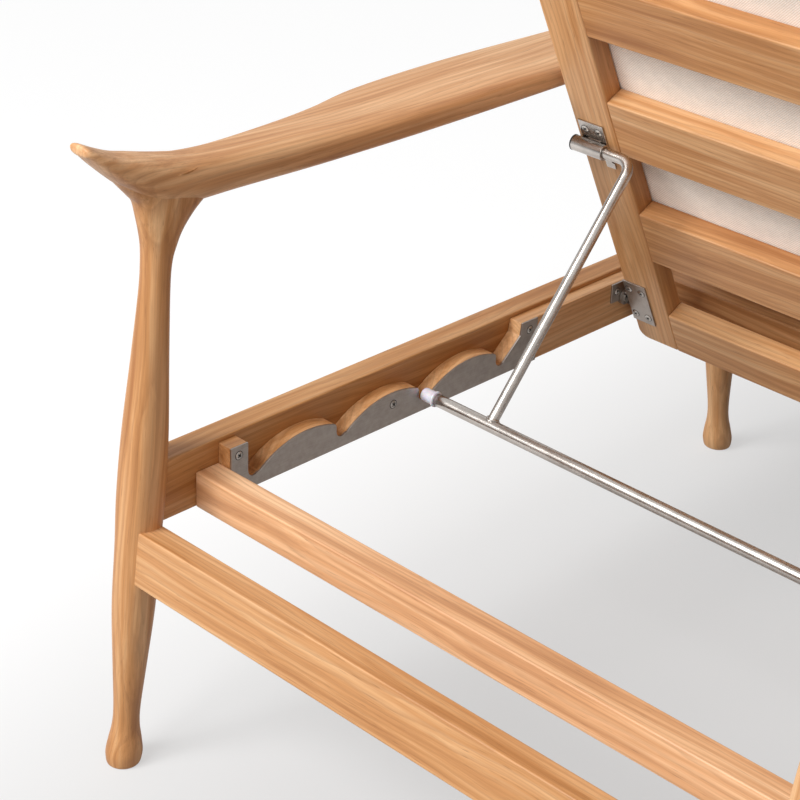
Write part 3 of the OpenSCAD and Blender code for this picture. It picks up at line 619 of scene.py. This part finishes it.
# Legs: turned and shaped by hand, with a club foot and, under the arms, a flare that grows into the arm.
# Stations: height, width along Y, width along X, squareness, shift of the flare
legLook = {
    "sides": 72,
    "steps": 6,
    "low": [
        [0, 29.82, 29.82, 2, 0], [1.0, 32.4, 32.4, 2, 0], [5.2, 34.43, 34.43, 2, 0],
        [13, 35.5, 35.5, 2, 0], [26, 31.7, 31.7, 2, 0], [41.6, 26.52, 26.52, 2, 0],
        [62.4, 26, 26, 2, 0], [111, 32.3, 32.3, 2.1, 0], [170, 38.8, 38.8, 2.3, 0],
        [235.5, 40, 40, 2.4, 0], [286.5, 40, 40, 3, 0],
    ],
    "high": [
        [347.5, 39.2, 39.2, 2.6, 0], [419.49, 33.2, 33.2, 2.2, 0], [482, 28, 28, 2, 0],
        [508, 28.28, 28.28, 2, 0], [524, 33.88, 30.8, 2, 1.4], [537, 43.12, 33.6, 2, 3],
        [552, 59.36, 38.08, 2.1, 6.8], [568, 82.04, 42, 2.3, 13],
    ],
    "sawnTop": [[316.0, 40, 40, 3, 0], [317.5, 38.4, 38.4, 3, 0]],
    "underHorn": [[576, 88, 43, 2.2, 8.8], [586, 95, 44, 2.2, 2.3], [593, 97, 44, 2.2, -3.5]],
    "tones": {
        "head_leg_left": -0.1, "head_leg_right": -0.05, "middle_leg_left": -0.05, "middle_leg_right": 0.1,
        "foot_leg_left": 0.0, "foot_leg_right": 0.05,
    },
}


def makeLegs():
    look = legLook
    for which, footY, lean, inward in (
        ("head", layout["headFoot"], layout["headLean"], -1),
        ("middle", layout["middleFoot"], layout["middleLean"], 1),
        ("foot", layout["footFoot"], layout["middleLean"], 0),
    ):
        stations = look["low"] + (look["high"] if inward else look["sawnTop"])
        if which == "head":
            stations = stations + look["underHorn"]
        for side, sign in sides.items():
            node = f"{which}_leg_{side}"
            rings = []
            for z, widthY, widthX, squareness, flare in splined(stations, look["steps"]):
                middleY = footY + lean * z + inward * flare
                ring = []
                for px, py in softRing(widthX, widthY, squareness, look["sides"]):
                    ring.append(Vector((sign * (layout["legX"] + px), middleY + py, z)) * mm)
                rings.append(ring)
            mesh = skin(rings, pieceName(node))
            along = Vector((0, lean, 1)).normalized()
            foot = Vector((sign * layout["legX"], footY, 0)) * mm
            setGrain(mesh, along, alongX, foot, logShift(), look["tones"][node])
            addPiece(pieceName(node), mesh, teak, "frame", "teak", [node])


makeLegs()
print("legs made")

# Arms: one broad shaped board each, narrow over the legs, with a horn turned up at the head end
armLook = {
    "sides": 72, "steps": 5, "tones": {"left": 0.3, "right": 0.2}, "horn": 56.0,
    "headTop": 914.82, "middleTop": 110.88, "neckX": 365.5, "middleX": 383.0,
    "neckWidth": 51.0, "neckThick": 39.0, "width": 100.0, "thick": 31.0,
}


# Sections along the arm: place, middle height, middle from the centre line, width, thickness, squareness
def armStations():
    look = armLook
    end, z = layout["headEnd"], layout["armZ"]
    horn, neck, middle = look["horn"], look["neckX"], look["middleX"]
    headTop, middleTop = look["headTop"], look["middleTop"]
    span = round(headTop - middleTop, 2)
    w, t, broad, thin = look["neckWidth"], look["neckThick"], look["width"], look["thick"]

    def lerp(a, b, share):
        return a + (b - a) * share

    return [
        [end, z + horn - 2.5, neck, 17, 5.5, 2.4], [end - 1.2, z + horn - 2.8, neck, 24, 9.5, 2.4],
        [end - 5, z + horn - 4.5, neck, 29, 12, 2.3],
        [end - 16, z + horn * 0.77, neck, 36, 17.5, 2.2], [end - 36, z + horn * 0.53, neck, 43.5, 27, 2.2],
        [end - 56, z + horn * 0.34, neck, 48, 37, 2.3], [end - 75, z + horn * 0.19, neck, 50.5, 43.5, 2.3],
        [end - 95, z + 5.2, neck, w, t + 5.5, 2.35], [headTop - 30, z + 2.2, neck, w, t + 3.5, 2.4],
        [headTop - span * 0.09, z, lerp(neck, middle, 0.05), w + 2, t - 1, 2.6],
        [headTop - span * 0.19, z - 2.5, lerp(neck, middle, 0.22), lerp(w, broad, 0.32), thin + 4, 2.8],
        [headTop - span * 0.27, z - 4, lerp(neck, middle, 0.48), broad - 20, thin + 1, 3],
        [headTop - span * 0.36, z - 5, lerp(neck, middle, 0.9), broad - 4, thin, 3.2],
        [headTop - span * 0.5, z - 5, middle, broad, thin, 3.2],
        [headTop - span * 0.66, z - 5, lerp(neck, middle, 0.88), broad - 8, thin, 3.2],
        [headTop - span * 0.82, z - 3, lerp(neck, middle, 0.54), lerp(w, broad, 0.55), thin + 2, 2.9],
        [middleTop + 40, z, lerp(neck, middle, 0.12), w + 6, t - 4, 2.5], [middleTop, z, neck, w + 2, t, 2.4],
        [middleTop - 30, z, neck, w + 1, t - 5, 2.4], [middleTop - 52, z + 1, neck, w - 6, t - 15, 2.3],
        [middleTop - 64, z + 2, neck, w - 20, t - 24, 2.1], [middleTop - 68, z + 2.5, neck, 16, 9, 2],
    ]


def makeArms():
    look = armLook
    for side, sign in sides.items():
        rings = []
        for y, z, midX, width, thick, squareness in splined(armStations(), look["steps"]):
            ring = []
            for px, pz in softRing(width, thick, squareness, look["sides"]):
                ring.append(Vector((sign * (midX + px), y, z + pz)) * mm)
            rings.append(ring)
        name = f"arm{side.capitalize()}"
        mesh = skin(rings, name)
        centre = Vector((sign * look["middleX"], layout["headEnd"] / 2, layout["armZ"])) * mm
        setGrain(mesh, alongY, alongX, centre, logShift(), look["tones"][side])
        addPiece(name, mesh, teak, "frame", "teak", [f"arm_{side}"])


makeArms()
print("arms made")

# Rolled plates and leaves: blanked from sheet, with the sharp edge broken by hand
plateLook = {"edge": 0.35, "smallest": 4.0}
plateNodes = {"rack_plate": "frame", "hinge_frame_leaf": "frame", "hinge_back_leaf": "back", "barrel": "back"}


def makePlates():
    for stem, body in plateNodes.items():
        for side in sides:
            node = f"{stem}_{side}"
            mesh = easedCopy(node, plateLook["edge"], plateLook["smallest"])
            steel, slot = (brushed, "stainless_polished") if stem == "barrel" else (satin, "stainless_satin")
            weighNormals(addPiece(pieceName(node), mesh, steel, body, slot, [node]))


makePlates()

# Support: two bent rods welded to a crossbar, drawn bright, with nylon caps pressed on its ends, and a black
# ring and a rivet at each barrel. The profiles are pairs of distance outwards and radius.
supportLook = {
    "rodRadius": 5.6, "barRadius": 6.5, "barrelOut": 323.0, "rodX": 248.5, "bend": 15.0, "lean": 1.3,
    "strut": 295.732, "angle": -48.274, "sides": 40, "barEnd": 313.5, "chamfer": 0.5, "startStep": 6,
    "startSteps": 9, "bendSteps": 12, "runSteps": 12, "barSteps": 40, "runShort": 3,
    "cap": [
        (0, 0.1), (0, 7.3), (0.5, 8.0), (1.2, 8.2), (2.4, 8.2), (3.0, 7.9), (3.2, 7.1), (4.0, 7.0), (15.6, 7.0),
        (16.6, 6.6), (17.4, 5.9), (17.9, 5.0), (18.0, 4.0), (18.0, 0.1),
    ],
    "ring": [(0, 0.1), (0, 7.9), (0.2, 8.2), (1.1, 8.2), (1.3, 7.9), (1.3, 0.1)],
    "rivet": [(1.2, 0.1), (1.2, 6.2), (1.5, 6.7), (2.2, 6.7), (2.6, 6.2), (2.6, 5.2), (2.0, 4.8), (1.9, 0.1)],
}
# The bead that joins rod and bar: its radius, ripples, and how far it lies outside them
weldLook = {
    "radius": 1.5, "ripple": 0.25, "ripplePace": 2.4, "over": 0.3, "lift": 0.2, "points": 48, "sides": 12,
}


def makeSupport():
    look = supportLook
    strutTurn, lean = math.radians(look["angle"]), math.radians(look["lean"])
    downStrut = Vector((0, math.cos(strutTurn), math.sin(strutTurn)))
    barrelPlace = Vector((0, layout["barrelY"], layout["barrelZ"]))
    barPlace = Vector((0, layout["barY"], layout["barZ"]))
    bend = look["bend"]
    for side, sign in sides.items():
        # Flat path of a rod, as pairs of distance outwards and distance down the strut: start, bend, run
        flat = [(look["barrelOut"] - 1, 0.0)]
        for k in reversed(range(look["startSteps"])):
            flat.append((look["rodX"] + bend + look["startStep"] * k, 0.0))
        for step in range(1, look["bendSteps"] + 1):
            angle = math.radians(270) - step / look["bendSteps"] * (math.radians(90) - lean)
            flat.append((look["rodX"] + bend + bend * math.cos(angle), bend + bend * math.sin(angle)))
        startX, startY = flat[-1]
        run = (look["strut"] - startY - look["runShort"]) / math.cos(lean)
        for k in range(1, look["runSteps"] + 1):
            x = startX - math.sin(lean) * run * k / look["runSteps"]
            y = startY + math.cos(lean) * run * k / look["runSteps"]
            flat.append((x, y))
        path = [(Vector((sign * x, 0, 0)) + barrelPlace + downStrut * y) * mm for x, y in flat]
        rod = tube(path, look["rodRadius"] * mm, look["sides"], "supportRod")
        rodName = f"supportRod{side.capitalize()}"
        addPiece(rodName, rod, brushed, "support", "stainless_polished", [f"support_rod_{side}"])
        # The weld: a rippled bead where rod and bar meet
        endX = flat[-1][0]
        over = look["rodRadius"] + weldLook["over"]
        normal = Vector((0, -downStrut.z, downStrut.y))
        path = []
        for k in range(weldLook["points"] + 1):
            angle = 2 * math.pi * k / weldLook["points"]
            offX = over * math.cos(angle)
            offN = over * math.sin(angle)
            back = math.sqrt(max(look["barRadius"] ** 2 - offN**2, 1.0))
            ripple = weldLook["ripple"] * math.sin(k * weldLook["ripplePace"])
            spot = Vector((sign * (endX + offX), 0, 0)) + barPlace
            path.append((spot - downStrut * (back + weldLook["lift"] + ripple) + normal * offN) * mm)
        bead = tube(path, weldLook["radius"] * mm, weldLook["sides"], "weldBead")
        addPiece(f"weldBead{side.capitalize()}", bead, brushed, "support", "stainless_polished")
        end = look["barEnd"]
        cap = turned([(sign * (end + x), r) for x, r in look["cap"]], layout["barY"], layout["barZ"], "barCap")
        addPiece(f"barCap{side.capitalize()}", cap, nylon, "support", "nylon", [f"bar_cap_{side}"])
        profile = [(sign * (look["barrelOut"] + x), r) for x, r in look["ring"]]
        ring = turned(profile, layout["barrelY"], layout["barrelZ"], "barrelRing")
        ringName = f"barrelRing{side.capitalize()}"
        capsNode = ["barrel_end_caps"] if sign > 0 else ()
        addPiece(ringName, ring, blackPlasticAndShade, "back", "black_plastic", capsNode)
        profile = [(sign * (look["barrelOut"] + x), r) for x, r in look["rivet"]]
        rivet = turned(profile, layout["barrelY"], layout["barrelZ"], "rodRivet")
        addPiece(f"rodRivet{side.capitalize()}", rivet, brushed, "back", "stainless_polished")
    end, radius, chamfer = look["barEnd"], look["barRadius"], look["chamfer"]
    profile = [(-end, 0.1), (-end, radius - chamfer)]
    for k in range(look["barSteps"] + 1):
        profile.append((-end + chamfer + (2 * end - 2 * chamfer) * k / look["barSteps"], radius))
    profile += [(end, radius - chamfer), (end, 0.1)]
    bar = turned(profile, layout["barY"], layout["barZ"], "crossbar")
    addPiece("crossbar", bar, brushed, "support", "stainless_polished", ["crossbar"])


makeSupport()
print("metalwork made")


# Screws: cold-formed raised heads with a pressed cross recess
screwLook = {
    "sides": 48, "rings": 13, "dome": 0.9, "domePower": 2.4, "rim": 0.25, "recess": 0.60, "arm": 0.19,
    "depth": 1.95, "skirt": (-0.3, -2.0), "crease": 38, "merge": 0.01, "flat": 0.02, "centre": 0.02,
}
# Black ring round each head, a painted shadow of the gap between head and plate: hole, how far it shows round
# the head, top and underside
shadowRingLook = {"hole": 0.5, "shows": 0.7, "top": 0.12, "under": -0.4}
screwNodes = {
    "rack_screws": "frame", "hinge_frame_screws": "frame", "hinge_back_screws": "back", "barrel_screws": "back",
    "slat_screws": "frame",
}


def islandsOf(mesh):
    bm = bmesh.new()
    bm.from_mesh(mesh)
    bmesh.ops.remove_doubles(bm, verts=bm.verts, dist=screwLook["merge"] * mm)
    seen = set()
    for start in bm.verts:
        if start.index in seen:
            continue
        island, waiting = [], [start]
        seen.add(start.index)
        while waiting:
            vertex = waiting.pop()
            island.append(vertex.co.copy())
            for edge in vertex.link_edges:
                other = edge.other_vert(vertex)
                if other.index not in seen:
                    seen.add(other.index)
                    waiting.append(other)
        yield island
    bm.free()


def makeScrews():
    look = screwLook
    for node, body in screwNodes.items():
        bm = bmesh.new()
        shadowRings = bmesh.new()
        for island in islandsOf(nodes[node].data):
            if node == "slat_screws":
                axis = alongZ
            elif body == "back":
                axis = -frontOfBack
            else:
                axis = -alongX if island[0].x > 0 else alongX
            top = max(place.dot(axis) for place in island)
            face = [place for place in island if place.dot(axis) > top - look["flat"] * mm]
            centre = sum(face, Vector()) / len(face)
            radius = max((place - centre).length for place in face)
            side = axis.orthogonal().normalized()
            other = axis.cross(side)
            rows = []
            for i in range(look["rings"] + 1):
                share = max(i / look["rings"], look["centre"])
                row = []
                for j in range(look["sides"]):
                    angle = 2 * math.pi * j / look["sides"]
                    x, y = share * math.cos(angle), share * math.sin(angle)
                    height = look["rim"] + look["dome"] * (1 - share ** look["domePower"])
                    if share < look["recess"] and min(abs(x), abs(y)) < look["arm"]:
                        height -= look["depth"]
                    row.append(bm.verts.new(centre + (side * x + other * y) * radius + axis * height * mm))
                rows.append(row)
            rim = [vertex.co for vertex in rows[-1]]
            for depth in look["skirt"]:
                down = axis * (depth - look["rim"]) * mm
                rows.append([bm.verts.new(place + down) for place in rim])
            for low, high in zip(rows, rows[1:]):
                for j in range(look["sides"]):
                    k = (j + 1) % look["sides"]
                    bm.faces.new((low[j], low[k], high[k], high[j])).smooth = True
            bm.faces.new(rows[0])
            bm.faces.new(rows[-1])
            hole, rimOut = shadowRingLook["hole"], radius / mm + shadowRingLook["shows"]
            under, over = shadowRingLook["under"], shadowRingLook["top"]
            # A black ring round the head stands for the shadow in the gap under it: painted shade
            seat = []
            for spread, height in ((hole, under), (hole, over), (rimOut, over), (rimOut, under)):
                circle = []
                for j in range(look["sides"]):
                    angle = 2 * math.pi * j / look["sides"]
                    outward = (side * math.cos(angle) + other * math.sin(angle)) * spread * mm
                    circle.append(shadowRings.verts.new(centre + outward + axis * height * mm))
                seat.append(circle)
            for low, high in zip(seat, seat[1:] + seat[:1]):
                for j in range(look["sides"]):
                    k = (j + 1) % look["sides"]
                    shadowRings.faces.new((low[j], low[k], high[k], high[j]))
        bmesh.ops.recalc_face_normals(bm, faces=bm.faces)
        markCreases(bm, look["crease"])
        addPiece(pieceName(node), meshOf(bm, pieceName(node)), pressed, body, "stainless_fasteners", [node])
        bmesh.ops.recalc_face_normals(shadowRings, faces=shadowRings.faces)
        shadowRingName = pieceName(node) + "ShadowRings"
        addPiece(shadowRingName, meshOf(shadowRings, shadowRingName), blackPlasticAndShade, body, "black_plastic")


makeScrews()
print("screws made")


# CAD nodes whose shape is right: pins and dowels
def dressNodes():
    for node, piece in nodes.items():
        material = beech if "dowel" in node else pressed if "screw" in node or "pin" in node else None
        if material:
            piece.data.materials.clear()
            piece.data.materials.append(material)


dressNodes()

# Cushions: foam in a box cover, crowned, the sides pulled in between the corners, with piping along both seams
cushionLooks = {
    "seatCushion": {
        "node": "seat_cushion", "body": "frame", "size": (652.0, 1138.0, 68.0), "along": -350.3,
        "voxel": 9.0, "swell": 5.0,
    },
    "backCushion": {
        "node": "back_cushion", "body": "back", "size": (612.0, 568.0, 64.0), "along": 352.0,
        "voxel": 7.0, "swell": 5.0,
    },
}
foamLook = {
    "pressure": 4.0, "frames": 20, "quality": 4, "relax": (0.5, 3), "drawIn": 6.0, "squareness": 9,
    "outline": 160, "seatZ": 299.0, "backOut": 24.5,
}
# The cushion's outline at each height: how far it is drawn in, and its share of the thickness
crownLevels = [
    (26, 0.0), (12, 0.02), (4, 0.09), (0.8, 0.22), (0, 0.5), (0.8, 0.78), (4, 0.92), (12, 0.985), (26, 1.02),
    (70, 1.05), (140, 1.07),
]
pipingLook = {
    "radius": 2.4, "points": 180, "sides": 10, "outside": 1.01, "proud": 0.3,
    "seams": {"Lower": 0.16, "Upper": 0.86},
}


# The foam pushes the cover out; no point moves further than swell, and the underside stays flat
def inflate(piece, look, normalUp, base):
    before = [v.co.copy() for v in piece.data.vertices]
    cloth = piece.modifiers.new("foamPush", "CLOTH")
    cloth.settings.use_pressure = True
    cloth.settings.uniform_pressure_force = foamLook["pressure"]
    cloth.settings.effector_weights.gravity = 0.0
    cloth.settings.quality = foamLook["quality"]
    scene = bpy.context.scene
    for number in range(1, foamLook["frames"] + 1):
        scene.frame_set(number)
    depsgraph = bpy.context.evaluated_depsgraph_get()
    after = [v.co.copy() for v in piece.evaluated_get(depsgraph).data.vertices]
    piece.modifiers.remove(cloth)
    scene.frame_set(1)
    limit = look["swell"] * mm
    for vertex, old, new in zip(piece.data.vertices, before, after):
        move = new - old
        if move.length > limit:
            move *= limit / move.length
        place = old + move
        depth = (place - base).dot(normalUp)
        if depth < 0:
            place -= depth * normalUp
        vertex.co = place


def makeCushion(name, look):
    node = look["node"]
    isBack = look["body"] == "back"
    up, out = (upBack, frontOfBack) if isBack else (alongY, alongZ)
    if isBack:
        origin = pivot + (upBack * look["along"] + frontOfBack * foamLook["backOut"]) * mm
    else:
        origin = Vector((0, look["along"], foamLook["seatZ"])) * mm
    sizeX, sizeY, sizeZ = look["size"]
    drawIn, squareness = foamLook["drawIn"], foamLook["squareness"]
    rings = []
    for inset, share in crownLevels:
        ring = []
        for px, py in softRing(2, 2, squareness, foamLook["outline"]):
            halfX, halfY = sizeX / 2 - inset, sizeY / 2 - inset
            x = px * (halfX - drawIn * (1 - py * py))
            y = py * (halfY - drawIn * (1 - px * px))
            ring.append(origin + (alongX * x + up * y + out * (share * sizeZ)) * mm)
        rings.append(ring)
    mesh = skin(rings, name)
    piece = addPiece(name, mesh, fabric, look["body"], "cushion_fabric", [node])
    remesh = piece.modifiers.new("remesh", "REMESH")
    remesh.mode = "VOXEL"
    remesh.voxel_size = look["voxel"] * mm
    remesh.use_smooth_shade = True
    depsgraph = bpy.context.evaluated_depsgraph_get()
    piece.data = bpy.data.meshes.new_from_object(piece.evaluated_get(depsgraph))
    piece.modifiers.clear()
    inflate(piece, look, out, origin)
    smooth = piece.modifiers.new("relax", "SMOOTH")
    smooth.factor, smooth.iterations = foamLook["relax"]
    finer = piece.modifiers.new("finer", "SUBSURF")
    finer.levels = finer.render_levels = 1
    depsgraph = bpy.context.evaluated_depsgraph_get()
    piece.data = bpy.data.meshes.new_from_object(piece.evaluated_get(depsgraph))
    piece.modifiers.clear()
    piece.data.name = name
    piece.data.materials.clear()
    piece.data.materials.append(fabric)
    piece.data.polygons.foreach_set("use_smooth", [True] * len(piece.data.polygons))
    setGrain(piece.data, alongX, up, origin, Vector((0.3, 0.7, 0.1)))
    tree = BVHTree.FromPolygons([v.co for v in piece.data.vertices], [p.vertices for p in piece.data.polygons])
    outside, proud = pipingLook["outside"], pipingLook["proud"]
    for seam, share in pipingLook["seams"].items():
        path = []
        for px, py in softRing(2, 2, squareness, pipingLook["points"]):
            x = px * (sizeX / 2 - drawIn * (1 - py * py))
            y = py * (sizeY / 2 - drawIn * (1 - px * px))
            wanted = origin + (alongX * x * outside + up * y * outside + out * (share * sizeZ)) * mm
            spot, normal, _, _ = tree.find_nearest(wanted)
            path.append(spot + normal * proud * pipingLook["radius"] * mm)
        path = [path[-1]] + path + [path[0]]
        pipingMesh = tube(path, pipingLook["radius"] * mm, pipingLook["sides"], f"{name}Piping{seam}")
        setGrain(pipingMesh, alongX, up, origin, Vector((0.1, 0.2, 0.3)))
        piping = addPiece(f"{name}Piping{seam}", pipingMesh, fabric, look["body"], "cushion_fabric")


for cushionName, cushionLook in cushionLooks.items():
    makeCushion(cushionName, cushionLook)
print("cushions made")

# Stage: pale floor, white to the camera where it is lit, and soft studio light from the camera's left
stageLook = {
    "floor": "#FDFDFD", "floorGlow": 0.66, "glowStrength": 1.08, "loungeShadowGrey": "#D6D6D6", "fadeFrom": 0.05,
    "fadeTo": 0.9, "world": 0.44, "bounce": 0.35, "mirrored": 0.95,
    "bands": [(0.0, 0.85), (0.12, 0.22), (0.30, 0.95), (0.75, 1.0)],
    "key": (1.3, (0.45, 0.95, 0.9), 22.0),
    "headLamp": {"place": (0.5, 2.75, 2.0), "aim": (0.2, 0.75, 0.35), "size": 1.4, "power": 54.0},
}


# The floor is white and fades to grey past the lounge's middle: a painted shadow of the lounge on the floor.
# The dark band in the mirrored world draws streaks on the steel.
def makeStage():
    look = stageLook
    bm = bmesh.new()
    bmesh.ops.create_grid(bm, x_segments=8, y_segments=8, size=20)
    mesh = meshOf(bm, "floor")
    floor = bpy.data.objects.new("floor", mesh)
    bpy.context.scene.collection.objects.link(floor)
    material = bpy.data.materials.new("floorPaperWhite")
    material.use_nodes = True
    tree = material.node_tree
    tree.nodes.clear()
    place = addNode(tree, "TexCoord").outputs["Object"]
    x = addNode(tree, "SeparateXYZ", {0: place}).outputs[0]
    # Painted shadow: the floor's colour turns grey towards the lounge's middle, both to the camera and in the
    # floor's glow
    fade = addNode(
        tree, "MapRange", {"Value": x, "From Min": look["fadeFrom"], "From Max": look["fadeTo"]},
        interpolation_type="SMOOTHSTEP",
    ).outputs[0]
    colour = addNode(
        tree, "ValToRGB", {"Fac": fade}, stops=[(0.0, look["loungeShadowGrey"]), (1.0, look["floor"])]
    ).outputs["Color"]
    path = addNode(tree, "LightPath")
    seen = path.outputs["Is Camera Ray"]
    pale = addNode(tree, "Math", {0: seen, 1: path.outputs["Is Glossy Ray"]}, operation="MAXIMUM").outputs[0]
    lit = addNode(
        tree, "Mix", {0: pale, 6: (look["bounce"], look["bounce"], look["bounce"], 1), 7: colour},
        data_type="RGBA",
    ).outputs[2]
    paper = addNode(tree, "BsdfDiffuse", {"Color": lit})
    glow = addNode(tree, "Emission", {"Color": colour, "Strength": look["glowStrength"]})
    share = addNode(tree, "Math", {0: seen, 1: look["floorGlow"]}, operation="MULTIPLY").outputs[0]
    both = addNode(tree, "MixShader", {0: share, 1: paper.outputs[0], 2: glow.outputs[0]})
    addNode(tree, "OutputMaterial", {"Surface": both.outputs[0]})
    mesh.materials.append(material)
    world = bpy.data.worlds.new("studio")
    bpy.context.scene.world = world
    world.use_nodes = True
    tree = world.node_tree
    tree.nodes.clear()
    path = addNode(tree, "LightPath")
    height = addNode(tree, "SeparateXYZ", {0: addNode(tree, "TexCoord").outputs["Generated"]}).outputs[2]
    bands = addNode(tree, "ValToRGB", {"Fac": height}, stops=look["bands"]).outputs["Color"]
    plain = addNode(tree, "Background", {"Color": (1, 1, 1, 1), "Strength": look["world"]})
    shown = addNode(tree, "Background", {"Color": (1, 1, 1, 1), "Strength": 1.0})
    mirrored = addNode(tree, "Background", {"Color": bands, "Strength": look["mirrored"]})
    first = addNode(
        tree, "MixShader", {0: path.outputs["Is Glossy Ray"], 1: plain.outputs[0], 2: mirrored.outputs[0]}
    )
    second = addNode(
        tree, "MixShader", {0: path.outputs["Is Camera Ray"], 1: first.outputs[0], 2: shown.outputs[0]}
    )
    addNode(tree, "OutputWorld", {"Surface": second.outputs[0]})
    strength, direction, softness = look["key"]
    lamp = bpy.data.lights.new("key", "SUN")
    lamp.energy = strength
    lamp.angle = math.radians(softness)
    key = bpy.data.objects.new("key", lamp)
    key.rotation_euler = Vector(direction).to_track_quat("Z", "Y").to_euler()
    bpy.context.scene.collection.objects.link(key)
    near = look["headLamp"]
    lamp = bpy.data.lights.new("headLamp", "AREA")
    lamp.size = near["size"]
    lamp.energy = near["power"]
    head = bpy.data.objects.new("headLamp", lamp)
    head.location = near["place"]
    head.rotation_euler = (Vector(near["place"]) - Vector(near["aim"])).to_track_quat("Z", "Y").to_euler()
    bpy.context.scene.collection.objects.link(head)
    bpy.context.scene.view_settings.view_transform = "Standard"


makeStage()
print("stage made")
